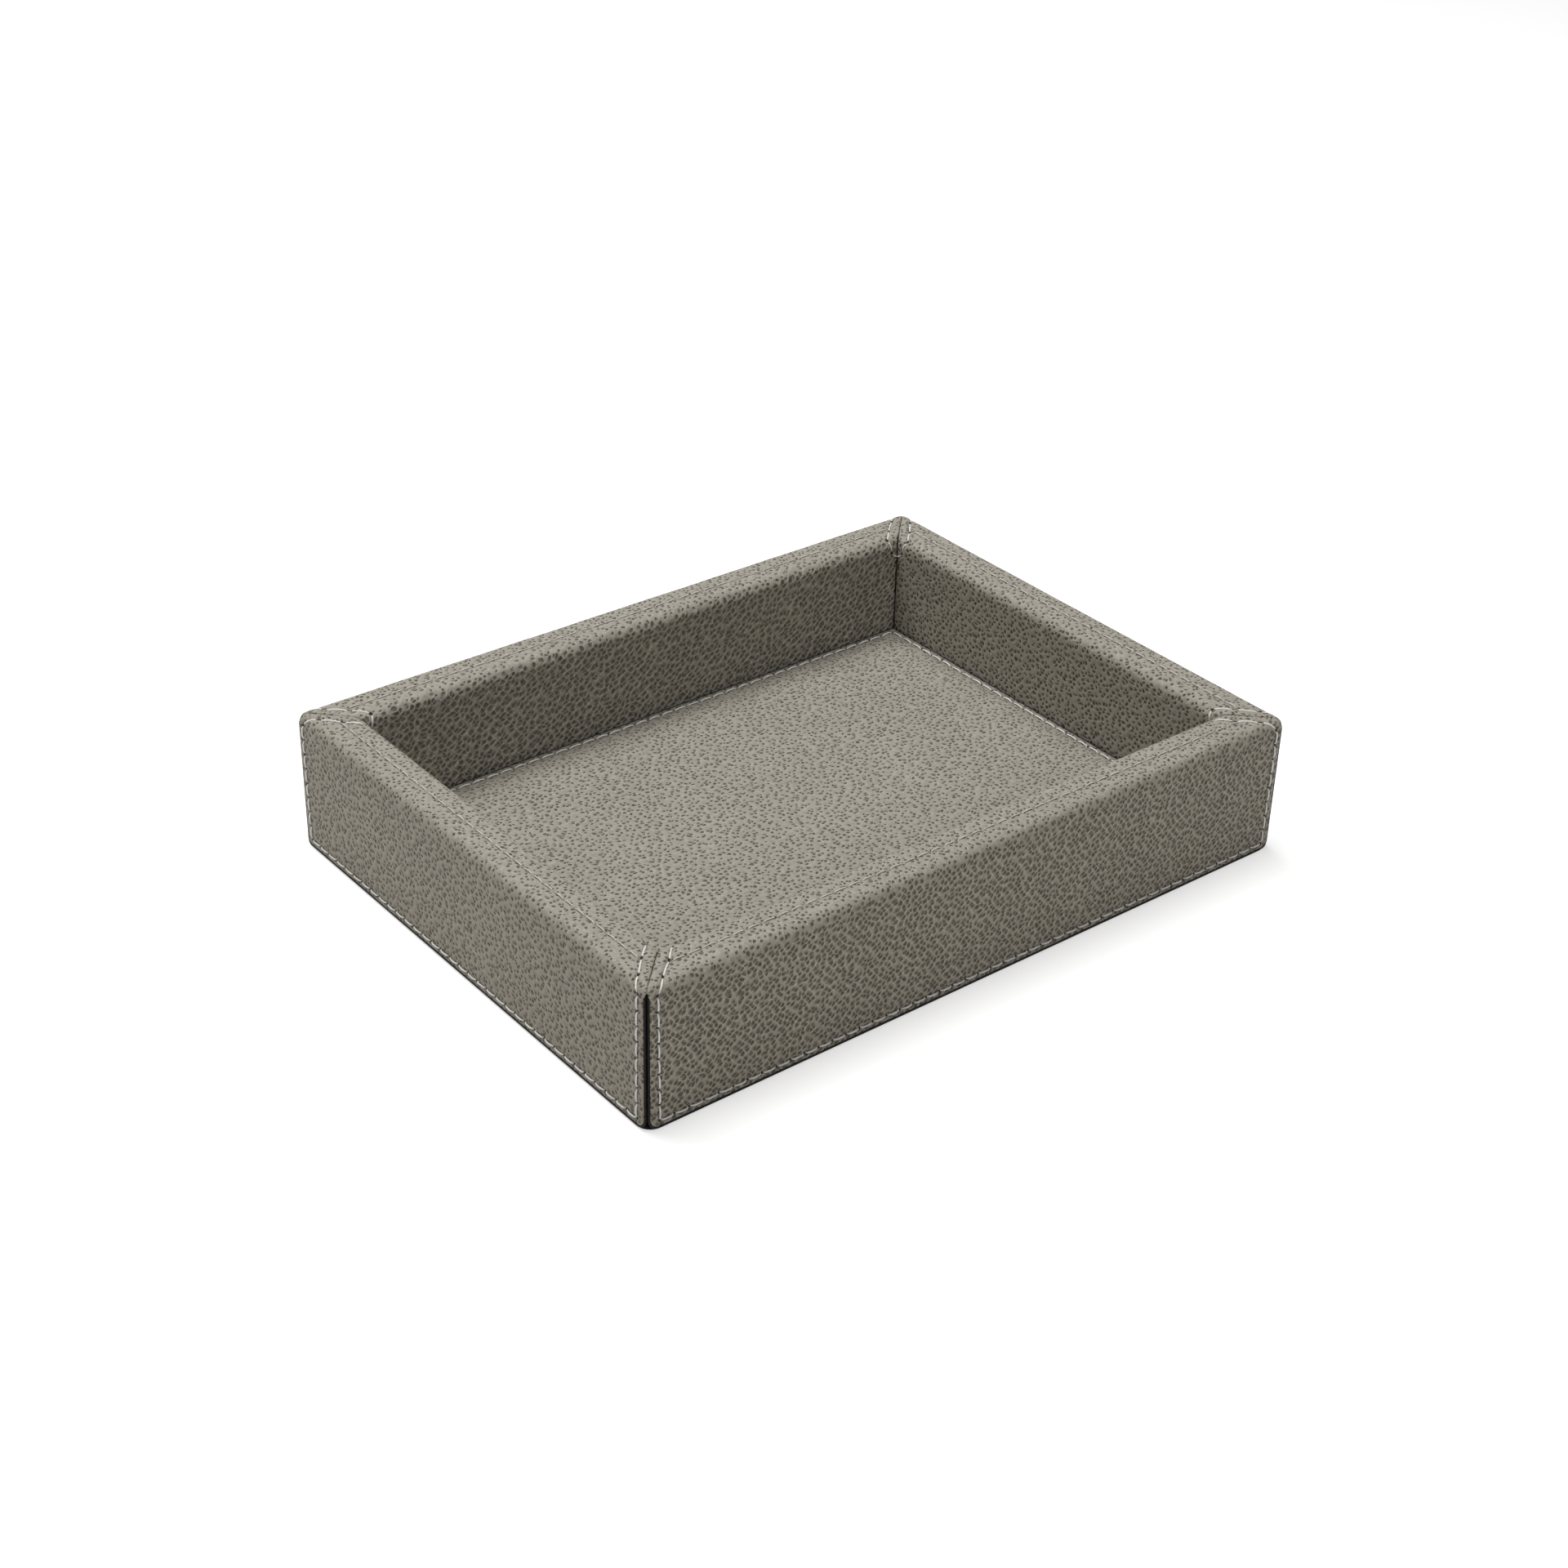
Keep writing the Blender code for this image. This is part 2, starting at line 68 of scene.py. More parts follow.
def aim_camera():
    back = Vector((
        math.sin(AZIMUTH) * math.cos(ELEVATION),
        -math.cos(AZIMUTH) * math.cos(ELEVATION),
        math.sin(ELEVATION),
    ))
    right = (-back).cross(Vector((0, 0, 1))).normalized()
    up = right.cross(-back)
    across = math.cos(ROLL) * right + math.sin(ROLL) * up
    upward = math.cos(ROLL) * up - math.sin(ROLL) * right
    camera = bpy.data.objects.new("camera", bpy.data.cameras.new("camera"))
    bpy.context.scene.collection.objects.link(camera)
    axes = Matrix((across, upward, back)).transposed()
    camera.matrix_world = Matrix.Translation(
        back * DISTANCE + across * SLIDE_X + upward * SLIDE_Y
    ) @ axes.to_4x4()
    camera.data.lens, camera.data.sensor_width = LENS, SENSOR
    camera.data.clip_start, camera.data.clip_end = 0.01, 20
    bpy.context.scene.camera = camera
    return camera


camera = aim_camera()
print("camera at", [round(c, 3) for c in camera.location])

# %% [markdown]
# Sizes of the tray
#
# The levels come from the boxes of the model's own parts, so that leather and boards fit. A wall
# is 16 mm thick, its top edges are rolled, and its outside leather stops short of the corners,
# where the cut edges are painted black. The sheet underneath is pared thinner along its rim, and
# the outside leather comes down that much further than in the model.

# %% Read the sizes from the model
outer_low, outer_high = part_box("outer_cover_front")
side_low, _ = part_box("outer_cover_left")
inner_low, inner_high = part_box("inner_cover_front")
_, pad_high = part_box("pad_leather")

HALF_LENGTH, HALF_WIDTH, HEIGHT = -side_low.x, -outer_low.y, outer_high.z
WALL = inner_high.y + HALF_WIDTH
SKIVED, SKIVED_DROP = 0.0020, 0.0006
FOOT, FLOOR_LEVEL = outer_low.z - SKIVED_DROP, inner_low.z
LEATHER = 0.0010
ROLL_OUTER, ROLL_INNER = 0.0033, 0.0038
PANEL_END, PANEL_CORNER = 0.00110, 0.0035
SEWN_GAP, MITRE_GAP, INNER_MITRE_GAP = 0.00006, 0.00010, 0.00004
PAD_CROWN = 0.0025
PAD_TOP = pad_high.z - PAD_CROWN
print("leather box:", [round(c, 4) for c in (2 * HALF_LENGTH, 2 * HALF_WIDTH, HEIGHT)])

# %% [markdown]
# A wall as a flat plan
#
# Leather bends but hardly stretches, so every point on it can be named by its place on the flat
# hide. Here u runs along the wall and v runs from the foot up the outside, over the rim and down
# the inside. Seams, stitches and grain are all planned flat. This helper says where a point of
# the plan lands on the front wall, and which way the leather faces there.

# %% Wrap the flat plan over a wall
V_ROLL = HEIGHT - ROLL_OUTER
V_RIM = V_ROLL + ROLL_OUTER * math.pi / 2
V_SEAM = V_RIM + WALL / 2 - ROLL_OUTER
V_DROP = V_RIM + WALL - ROLL_OUTER - ROLL_INNER
V_INSIDE = V_DROP + ROLL_INNER * math.pi / 2
V_FLOOR = V_INSIDE + HEIGHT - ROLL_INNER - FLOOR_LEVEL


def wrap(v):
    """Depth into the wall, height, and the facing (depth, height) of each v on the plan."""
    v = np.asarray(v, float)
    a = np.clip((v - V_ROLL) / ROLL_OUTER, 0, math.pi / 2)
    b = np.clip((v - V_DROP) / ROLL_INNER, 0, math.pi / 2)
    flat = np.clip(v - V_RIM, 0, V_DROP - V_RIM)
    down = np.maximum(v - V_INSIDE, 0)
    depth = ROLL_OUTER * (1 - np.cos(a)) + flat + ROLL_INNER * np.sin(b)
    height = np.minimum(v, V_ROLL) + ROLL_OUTER * np.sin(a) - ROLL_INNER * (1 - np.cos(b)) - down
    return depth, height, -np.cos(a) * (b <= 0) + np.sin(b), np.sin(a) * np.cos(b)


print("plan of a wall, foot to floor:", round(V_FLOOR - FOOT, 4))

# %% [markdown]
# Working in edit mode from code
#
# Edit-mode tools act on what is selected. By hand one clicks the faces, and here a short test
# picks them by their place. Rotate needs its sign changed when Blender has no window.

# %% Helpers for edit mode


def mode(name):
    bpy.ops.object.mode_set(mode=name)


def select_only(*objects):
    if bpy.context.object and bpy.context.object.mode != "OBJECT":
        mode("OBJECT")
    bpy.ops.object.select_all(action="DESELECT")
    for obj in objects:
        obj.select_set(True)
    bpy.context.view_layer.objects.active = objects[0] if objects else None


def select_mesh():
    bpy.ops.mesh.select_all(action="SELECT")


def pick(obj, kind, test):
    """In edit mode, selects only the vertices, edges or faces that pass the test."""
    bpy.ops.mesh.select_all(action="DESELECT")
    bpy.ops.mesh.select_mode(type=kind)
    shape = bmesh.from_edit_mesh(obj.data)
    parts = {"VERT": shape.verts, "EDGE": shape.edges, "FACE": shape.faces}[kind]
    chosen = [part for part in parts if test(part)]
    for part in chosen:
        part.select_set(True)
    bmesh.update_edit_mesh(obj.data)
    return len(chosen)


def middle(edge):
    return (edge.verts[0].co + edge.verts[1].co) / 2


def name_it(name):
    obj = bpy.context.object
    obj.name = obj.data.name = name
    return obj


def extrude(x, y, z):
    bpy.ops.mesh.extrude_region_move(TRANSFORM_OT_translate={"value": (x, y, z)})


def close_mesh():
    """Turns all normals outward and leaves edit mode."""
    select_mesh()
    bpy.ops.mesh.normals_make_consistent(inside=False)
    mode("OBJECT")


def turn(degrees, axis, centre=(0, 0, 0)):
    bpy.ops.transform.rotate(
        value=-math.radians(degrees), orient_axis=axis, center_override=centre
    )


def new_plane(name, width, depth):
    """A plane round the origin, left in edit mode with all of it selected."""
    select_only()
    bpy.ops.mesh.primitive_plane_add(size=1, enter_editmode=True, calc_uvs=False)
    bpy.ops.transform.resize(value=(width, depth, 1))
    return name_it(name)


def apply_modifier(obj, name, kind, **settings):
    modifier = obj.modifiers.new(name, kind)
    for key, value in settings.items():
        setattr(modifier, key, value)
    select_only(obj)
    bpy.ops.object.modifier_apply(modifier=modifier.name)


# %% [markdown]
# Cut and divide a blank
#
# A blank starts as a single plane in edit mode. It could be one even grid, but the leather needs
# fine cells only where a needle pulls it in. So it is scored into zones, each zone gets its own
# number of cells, and the zones beside the seams are divided once more. A point attribute named
# plan keeps the flat place of every point for later.

# %% Cut a flat blank
CELL = 0.00265
FINE_CUTS = 5
END_ZONE = 0.0159


def score(place, direction):
    select_mesh()
    bpy.ops.mesh.bisect(plane_co=place, plane_no=direction)


def cells_between(obj, low, high, count, across):
    """Divides the zone from low to high, across x if across is 0 and across y if it is 1."""
    along = 1 - across
    pick(obj, "EDGE", lambda e: low < middle(e)[across] < high
         and abs(e.verts[0].co[along] - e.verts[1].co[along]) < 1e-7)
    if count > 1:
        bpy.ops.mesh.subdivide(number_cuts=count - 1)


def flat_blank(name, columns, rows, is_fine):
    """A blank in the ground plane. Columns and rows are (low, high, cells) zones."""
    low = (columns[0][0], rows[0][0])
    high = (columns[-1][1], rows[-1][1])
    obj = new_plane(name, high[0] - low[0], high[1] - low[1])
    centre = ((low[0] + high[0]) / 2, (low[1] + high[1]) / 2, 0)
    bpy.ops.transform.translate(value=centre)
    for x, _, _ in columns[1:]:
        score((x, 0, 0), (1, 0, 0))
    for y, _, _ in rows[1:]:
        score((0, y, 0), (0, 1, 0))
    for zone in columns:
        cells_between(obj, *zone, 0)
    for zone in rows:
        cells_between(obj, *zone, 1)
    if pick(obj, "FACE", lambda f: is_fine(f.calc_center_median())):
        bpy.ops.mesh.subdivide(number_cuts=FINE_CUTS)
    mode("OBJECT")
    return obj


def read(obj, name="plan"):
    values = np.zeros(len(obj.data.vertices) * 3)
    obj.data.attributes[name].data.foreach_get("vector", values)
    return values.reshape(-1, 3)


def write(obj, name, values):
    kind, key = ("FLOAT", "value") if np.ndim(values) == 1 else ("FLOAT_VECTOR", "vector")
    attribute = obj.data.attributes.get(name) or obj.data.attributes.new(name, kind, "POINT")
    attribute.data.foreach_set(key, np.ascontiguousarray(values, np.float32).ravel())


def places(obj):
    values = np.zeros(len(obj.data.vertices) * 3)
    obj.data.vertices.foreach_get("co", values)
    return values.reshape(-1, 3)


def set_places(obj, points):
    obj.data.vertices.foreach_set("co", points.ravel())
    obj.data.update()


# %% [markdown]
# Fold the leather over the board
#
# A bevel could round the edge, but a real cover is one flat piece rolled over the board. So the
# blank is folded at seven lines, 90 degrees in all, starting at the far end. Each fold turns what
# lies beyond its line. Then the whole piece is stood up.

# %% Fold a blank
FOLDS = 6
FOOT_BAND = 0.0069
OUTER_CALM, INNER_CALM = 0.0022, 0.0019


def fold_over(obj, start, radius):
    step = radius * math.pi / 2 / FOLDS
    mode("EDIT")
    for line in reversed(range(FOLDS + 1)):
        y = start + line * step
        degrees = 90 / FOLDS * (0.5 if line in (0, FOLDS) else 1)
        pick(obj, "VERT", lambda p, y=y: p.co.y > y + 1e-6 or p.co.z < -1e-6)
        turn(-degrees, "X", (0, y, 0))
    select_mesh()
    turn(90, "X")
    mode("OBJECT")


def cover_blank(name, half, face, radius, calm, seam):
    """A blank of the rows of a face, a roll, a calm strip of rim and the strip at the seam."""
    end, top = half - END_ZONE, face[-1][1]
    rim = top + radius * math.pi / 2
    columns = [(-half, -end, 6), (-end, end, round(2 * end / CELL)), (end, half, 6)]
    rows = [*face, (top, rim, FOLDS), (rim, rim + calm, 1), (rim + calm, seam, 1)]
    fine = lambda c: abs(c.x) > end or c.y < face[-1][0] or c.y > rim + calm
    return flat_blank(name, columns, rows, fine)


def outer_blank(name, half):
    """The outside leather of a wall: foot band, face, roll and half the rim."""
    face = [(FOOT, FOOT + FOOT_BAND, 3), (FOOT + FOOT_BAND, V_ROLL, 14)]
    obj = cover_blank(name, half, face, ROLL_OUTER, OUTER_CALM, V_SEAM - SEWN_GAP / 2)
    write(obj, "plan", places(obj))
    fold_over(obj, V_ROLL, ROLL_OUTER)
    return obj


def inner_blank(name, half):
    """The inside leather of a wall: from the floor up, over the rim's inner edge to its middle."""
    top = HEIGHT - ROLL_INNER
    seam = top + ROLL_INNER * math.pi / 2 + V_DROP - V_SEAM - SEWN_GAP / 2
    face = [(FLOOR_LEVEL, top, 13)]
    obj = cover_blank(name, half - WALL / 2, face, ROLL_INNER, INNER_CALM, seam)
    u, up, _ = places(obj).T
    write(obj, "plan", np.stack([-u, V_INSIDE + top - up, 0 * u], 1))
    fold_over(obj, top, ROLL_INNER)
    return obj


# %% [markdown]
# Trim the leather
#
# At each corner the leather is cut on the mitre, at 45 degrees, with lines scored beside the cut
# for the leather to bend along. The outside piece also stops short of the corner, which leaves a
# slot with a round top, and its lower corners are rounded. A boolean would do it, but straight
# cuts with the bisect tool leave a cleaner edge: a round corner is six short straight cuts. Seen
# from above, soft leather makes a round corner of the square one, which is a move of its points.

# %% Trim at the corners
MITRE_LINES = (0.0011, 0.0006, 0.00025, 0)
SLOT_TOP, SLOT_ZONE = V_ROLL + 0.0009, 0.0022
CORNER = 0.0032
SNAP, WELD = 0.000005, 0.00003


def mitre(half, reach, gap):
    mode("EDIT")
    for side in (-1, 1):
        for inset in MITRE_LINES:
            select_mesh()
            x = side * (half - gap * math.sqrt(0.5) - inset * math.sqrt(2))
            bpy.ops.mesh.bisect(
                plane_co=(x, -reach, 0), plane_no=(side, 1, 0), clear_outer=inset == 0
            )
    mode("OBJECT")


def arc(centre, radius, start, end, steps=6):
    points = []
    for step in range(steps + 1):
        angle = math.radians(start + (end - start) * step / steps)
        points.append((centre[0] + radius * math.cos(angle), centre[1] + radius * math.sin(angle)))
    return points


def carve(obj, outline, in_box, drop_inside):
    """Cuts along a convex outline in (|x|, z), then drops what is inside or outside it."""
    lines = list(zip(outline, outline[1:]))

    def is_waste(face):
        c = face.calc_center_median()
        inside = all((b[0] - a[0]) * (c.z - a[1]) - (b[1] - a[1]) * (abs(c.x) - a[0]) > 0
                     for a, b in lines)
        return in_box(c, math.copysign(1, c.x)) and inside == drop_inside

    for side in (-1, 1):
        for a, b in lines:
            pick(obj, "FACE", lambda f: in_box(f.calc_center_median(), side))
            normal = Vector((side * (b[1] - a[1]), 0, a[0] - b[0])).normalized()
            bpy.ops.mesh.bisect(
                plane_co=(side * a[0], 0, a[1]), plane_no=normal, threshold=SNAP)
    pick(obj, "FACE", is_waste)
    bpy.ops.mesh.delete(type="FACE")


def trim_outer(obj, half):
    mode("EDIT")
    edge = half - PANEL_END
    slot = [(edge, -0.01), (edge, SLOT_TOP), *arc((half, SLOT_TOP), PANEL_END, 180, 90)[1:]]
    carve(obj, slot[::-1],
          lambda c, s: s * c.x > half - SLOT_ZONE and c.z < SLOT_TOP + SLOT_ZONE, True)
    centre = (edge - PANEL_CORNER, FOOT + PANEL_CORNER)
    corner = arc(centre, PANEL_CORNER, -90, 0)
    carve(obj, corner, lambda c, s: s * c.x > centre[0] and c.z < centre[1], False)
    select_mesh()
    bpy.ops.mesh.remove_doubles(threshold=WELD)
    mode("OBJECT")


def soften_corners(obj, half, reach):
    """Draws what lies at the outer corners inwards, until the square corner is a round one."""
    points = places(obj)
    a = np.maximum(CORNER - half + np.abs(points[:, 0]), 0)
    b = np.maximum(CORNER - reach - points[:, 1], 0)
    share = np.maximum(a, b) / np.maximum(np.hypot(a, b), 1e-9)
    drawn_in = np.where(np.minimum(a, b) > 0, 1 - share, 0)
    points[:, 0] -= np.sign(points[:, 0]) * a * drawn_in
    points[:, 1] += b * drawn_in
    set_places(obj, points)


# %% [markdown]
# Make one long and one short wall's leather
#
# Opposite walls are alike, so each cover is modelled once, for the front wall and for the right
# wall lying where the front wall is. It is copied and turned into place at the end, each copy
# with its own mesh.

# %% Blanks, folded and trimmed
SIDES = {"long": (HALF_LENGTH, HALF_WIDTH), "short": (HALF_WIDTH, HALF_LENGTH)}


def move_mesh(shift, half_turn=False):
    mode("EDIT")
    select_mesh()
    if half_turn:
        turn(180, "Z")
    bpy.ops.transform.translate(value=shift)
    mode("OBJECT")


covers = {}
for side, (half, reach) in SIDES.items():
    outer = outer_blank("outer_leather_" + side, half)
    move_mesh((0, -reach, 0))
    mitre(half, reach, MITRE_GAP)
    trim_outer(outer, half)
    inner = inner_blank("inner_leather_" + side, half)
    move_mesh((0, WALL - reach, 0), half_turn=True)
    mitre(half, reach, INNER_MITRE_GAP)
    covers[side] = (outer, inner)
    print(side, "covers have", len(outer.data.polygons), len(inner.data.polygons), "faces")

# %% [markdown]
# Plan the needle holes
#
# The seam is planned on the flat hide as a row of needle holes. Along the foot and up beside the
# corner a stitch is 5.3 mm long, over the rim it is 7 mm. A hole falls exactly in each corner of
# the line. A taut thread runs straight between its two holes, so two holes are all that a stitch
# needs to know. The finer seam in the middle of the rim ends at the contrast seam.

# %% Needle holes on the plan
PITCH = 0.0053
SEAM_LOW, SEAM_HIGH, SEAM_FOOT = 0.0048, 0.0042, 0.0022
SPREAD, NECK = 0.0060, 0.0040
BEND_GAP, V_BEND = 0.0023, V_INSIDE + 0.0057 - ROLL_INNER
TIP_GAP, V_TIP = 0.00035, V_INSIDE + 0.0074 - ROLL_INNER
RIM_END_GAP = 0.0012


def evenly(start, end, count):
    shares = np.linspace(0, 1, count + 1)[:, None]
    return np.array(start) * (1 - shares) + np.array(end) * shares


def beside_mitre(v):
    """How far the contrast seam runs from the mitre line, along the wall."""
    return np.interp(v, [V_ROLL, V_DROP, V_INSIDE], [SEAM_HIGH, SPREAD, NECK])


def seam_holes(half):
    """Holes from the bend inside the left corner, round the foot, to the bend on the right."""
    side, foot = half - SEAM_LOW, FOOT + SEAM_FOOT
    up = evenly((side, foot), (half - SEAM_HIGH, V_ROLL), 8)
    v = np.linspace(V_ROLL, V_BEND, 5)[1:-1]
    over = np.stack([half - wrap(v)[0] - beside_mitre(v), v], 1)
    right = np.concatenate([up, over, [(half - WALL - BEND_GAP, V_BEND)]])
    left = right[::-1] * (-1, 1)
    along = evenly((-side, foot), (side, foot), round(2 * side / PITCH))[1:-1]
    return np.concatenate([left, along, right])


def rim_holes(half):
    end = half - WALL / 2 - float(beside_mitre(V_SEAM)) - RIM_END_GAP
    return evenly((-end, V_SEAM), (end, V_SEAM), round(2 * end / PITCH))


holes = {side: (seam_holes(half), rim_holes(half)) for side, (half, _) in SIDES.items()}
print("stitches on a long and a short wall:", [len(h[0]) + len(h[1]) - 2 for h in holes.values()])

# %% [markdown]
# Pull the leather in at the seams
#
# A tight thread draws the leather into a groove, deepest at each hole and over the rim, and
# leaves it puffed between. Sculpting would give this by hand. Here every point gets a weight from
# its distance to the seam, and a Displace modifier pushes along the normal by that weight. Near
# the mitre and the free edges the leather turns down, and in between it swells a little. The
# attributes written here tell the material where the leather is pressed, which it paints darker
# as painted shade in the grooves (above 1.3 it is drawn black: the real paint that laps over the
# free edge, and a painted shadow in the mitre), bent round a roll, drawn in along the rim's seam,
# slack on the upright faces, and where the outer faces are painted darker and browner, painted
# shade.

# %% Press the seams in
GROOVE, RIM_GROOVE, GROOVE_WIDTH = 0.00028, 0.00018, 0.00060
HOLE, HOLE_WIDTH = 0.00040, 0.00050
MITRE_DIP, MITRE_WIDTH = 0.00042, 0.0009
MITRE_SWELL, SWELL_PLACE, SWELL_WIDTH = 0.00012, 0.0024, 0.0012
EDGE_DIP, EDGE_WIDTH = 0.00026, 0.0005
EDGE_SWELL, EDGE_SWELL_PLACE, EDGE_SWELL_WIDTH = 0.00010, 0.0018, 0.0009
RIM_DIP, RIM_WIDTH, SEWN_END = 0.00034, 0.0010, 0.004
SOFTNESS, BUMPS_PER_METRE = 0.00010, 55
FULLY_PRESSED = 0.0007
PAINT, PAINT_LAP, PAINT_END, PAINT_FADE = 3.2, 0.00006, SLOT_TOP - 0.0004, 0.002
MITRE_SHADOW, RIM_SHADOW_WIDTH, INSIDE_SHADOW_WIDTH = 2.5, 0.0003, 0.0006
ROLL_BEND, SLOT_BEND, DRAWN_WIDTH, RIM_SLACK = 0.0026, 0.55, 0.0024, 0.12


def nearest_stitch(points, row):
    """Number and share passed of the stitch nearest each point, and the distance to it."""
    count, best = np.zeros(len(points)), np.full(len(points), 1e9)
    for k, (a, run) in enumerate(zip(row, row[1:] - row[:-1])):
        rel = points - a
        t = rel @ run / np.hypot(*run) ** 2
        over = rel - np.clip(t, 0, 1)[:, None] * run
        d = np.hypot(over[:, 0], over[:, 1])
        near = d < best
        best[near] = d[near]
        count[near] = k + t[near]
    return count, best


def to_hole(points, row):
    return np.min(np.hypot(points[:, 0, None] - row[:, 0], points[:, 1, None] - row[:, 1]), 1)


def bump(distance, width):
    return np.exp(-((distance / width) ** 2))


def ramp(distance, width):
    return np.clip(1 - distance / width, 0, 1) ** 2


def push(obj, amount, name):
    """Moves each vertex along its normal by its amount, with a weight and a Displace modifier."""
    for part, sign in ((np.maximum(amount, 0), 1), (np.maximum(-amount, 0), -1)):
        most = float(part.max())
        if most < 1e-7:
            continue
        group = obj.vertex_groups.new(name=name)
        for i in np.nonzero(part > most * 1e-4)[0]:
            group.add([int(i)], float(part[i]) / most, "REPLACE")
        apply_modifier(obj, name, "DISPLACE", mid_level=0, strength=sign * most,
                       vertex_group=group.name)
        obj.vertex_groups.clear()


def softness(points, seed):
    """A slow unevenness of the leather, from -1 to 1."""
    return np.array([
        noise.noise(Vector((p[0] * BUMPS_PER_METRE, p[1] * BUMPS_PER_METRE, seed)))
        for p in points
    ])


def press_cover(obj, half, rows, outside):
    seam, rim = rows
    plan = read(obj)[:, :2]
    u, v = np.abs(plan[:, 0]), plan[:, 1]
    rolls = [V_ROLL, V_RIM, V_DROP, V_INSIDE]
    off_mitre = (half - wrap(v)[0] - u) / math.sqrt(2)
    off_mitre = np.where(v < SLOT_TOP, 1, off_mitre)
    off_seam = np.abs(v - V_SEAM)
    sewn = np.clip((rim[-1][0] + SEWN_END - u) / SEWN_END, 0.15, 1)
    down = (GROOVE + RIM_GROOVE * np.interp(v, rolls, [0, 1, 1, 0.5])) * bump(
        nearest_stitch(plan, seam)[1], GROOVE_WIDTH)
    down += HOLE * bump(to_hole(plan, seam), HOLE_WIDTH)
    down += MITRE_DIP * np.interp(v, rolls, [0.2, 1, 1, 0.3]) * ramp(off_mitre, MITRE_WIDTH)
    down += RIM_DIP * ramp(off_seam, RIM_WIDTH) * sewn
    down += HOLE / 2 * bump(to_hole(plan, rim), HOLE_WIDTH)
    up = MITRE_SWELL * bump(off_mitre - SWELL_PLACE, SWELL_WIDTH)
    up = up + SOFTNESS * softness(plan, 370 * half + outside)
    painted = beside_slot = 0
    if outside:
        free = np.minimum(half - PANEL_END - u, v - FOOT)
        free = np.where(v > V_ROLL, 1, np.maximum(free, 0))
        down += EDGE_DIP * ramp(free, EDGE_WIDTH)
        up = up + EDGE_SWELL * bump(free - EDGE_SWELL_PLACE, EDGE_SWELL_WIDTH)
        painted = PAINT * (free < PAINT_LAP) * np.clip((PAINT_END - v) / PAINT_FADE, 0, 1)
        beside_slot = SLOT_BEND * (u > half - SEAM_HIGH) * (v < V_ROLL)
    shadow_width = np.interp(v, [V_DROP, V_INSIDE], [RIM_SHADOW_WIDTH, INSIDE_SHADOW_WIDTH])
    # The pressed amount is painted as shade in the grooves; above 1.3 it is a painted shadow in the
    # mitre, and the real black paint lapped over the free edge.
    write(obj, "pressed", np.clip(down / FULLY_PRESSED, 0, 1)
          + MITRE_SHADOW * ramp(off_mitre, shadow_width) + painted)
    upright = [V_ROLL - 0.001, V_RIM - 0.002, V_DROP + 0.002, V_INSIDE]
    write(obj, "slack", np.interp(v, upright, [1, RIM_SLACK, RIM_SLACK, 1]))
    to_roll = np.minimum(np.abs(v - (V_ROLL + V_RIM) / 2), np.abs(v - (V_DROP + V_INSIDE) / 2))
    write(obj, "bend", np.maximum(bump(to_roll, ROLL_BEND), beside_slot))
    write(obj, "drawn", bump(off_seam, DRAWN_WIDTH))
    # Outer faces are marked for a darker, browner copy of the leather colour: painted shade.
    write(obj, "tanned", np.interp(v, [V_ROLL, V_RIM], [float(outside), 0]))
    push(obj, up - down, "pulled in")
    return float(down.max())


# %% [markdown]
# Name the stitches for the material
#
# The black needle holes are finer than the mesh, so the material draws their rims, painted black as
# the shade inside each hole. It needs to know how far along the seam it is and how far beside it.
# A UV map called sewing holds both: U counts the stitches, and V is the distance in millimetres. It
# is set face by face, so that it stays sharp where the seam turns a corner.

# %% Write the sewing map


def write_sewing(obj, row):
    plan, mesh = read(obj)[:, :2], obj.data
    corners = np.zeros(len(mesh.loops), int)
    mesh.loops.foreach_get("vertex_index", corners)
    totals = np.zeros(len(mesh.polygons), int)
    mesh.polygons.foreach_get("loop_total", totals)
    owner = np.repeat(np.arange(len(totals)), totals)
    plan = plan[corners]
    centres = np.stack([np.bincount(owner, plan[:, i]) / totals for i in (0, 1)], 1)
    count, _ = nearest_stitch(centres, row)
    k = np.clip(np.floor(count).astype(int), 0, len(row) - 2)[owner]
    rel, run = plan - row[k], row[k + 1] - row[k]
    length = np.hypot(run[:, 0], run[:, 1])
    u = k + (rel * run).sum(1) / length**2
    v = (run[:, 0] * rel[:, 1] - run[:, 1] * rel[:, 0]) / length * 1000
    layer = mesh.uv_layers.new(name="sewing")
    layer.uv.foreach_set("vector", np.stack([u, v], 1).astype(np.float32).ravel())


# %% [markdown]
# The painted edge
#
# Black paint coats the cut edge of each outside piece in a rounded bead. The free edge of the
# leather sheet itself is copied off as a line and given a round bevel as a curve, so the bead
# follows every trim exactly. This is done while the leather is still a thin flat sheet. The line
# moves a little into the leather's thickness, and sinks deeper round the top of the slot.

# %% Draw the painted bead
BEAD, BEAD_DEPTH, BEAD_SINK = 0.00050, 0.00030, 0.00035
SINK_START, SINK_RUN = SLOT_TOP - 0.001, PANEL_END + 0.001
SINK_IN, SINK_DOWN = 1.7, 0.5


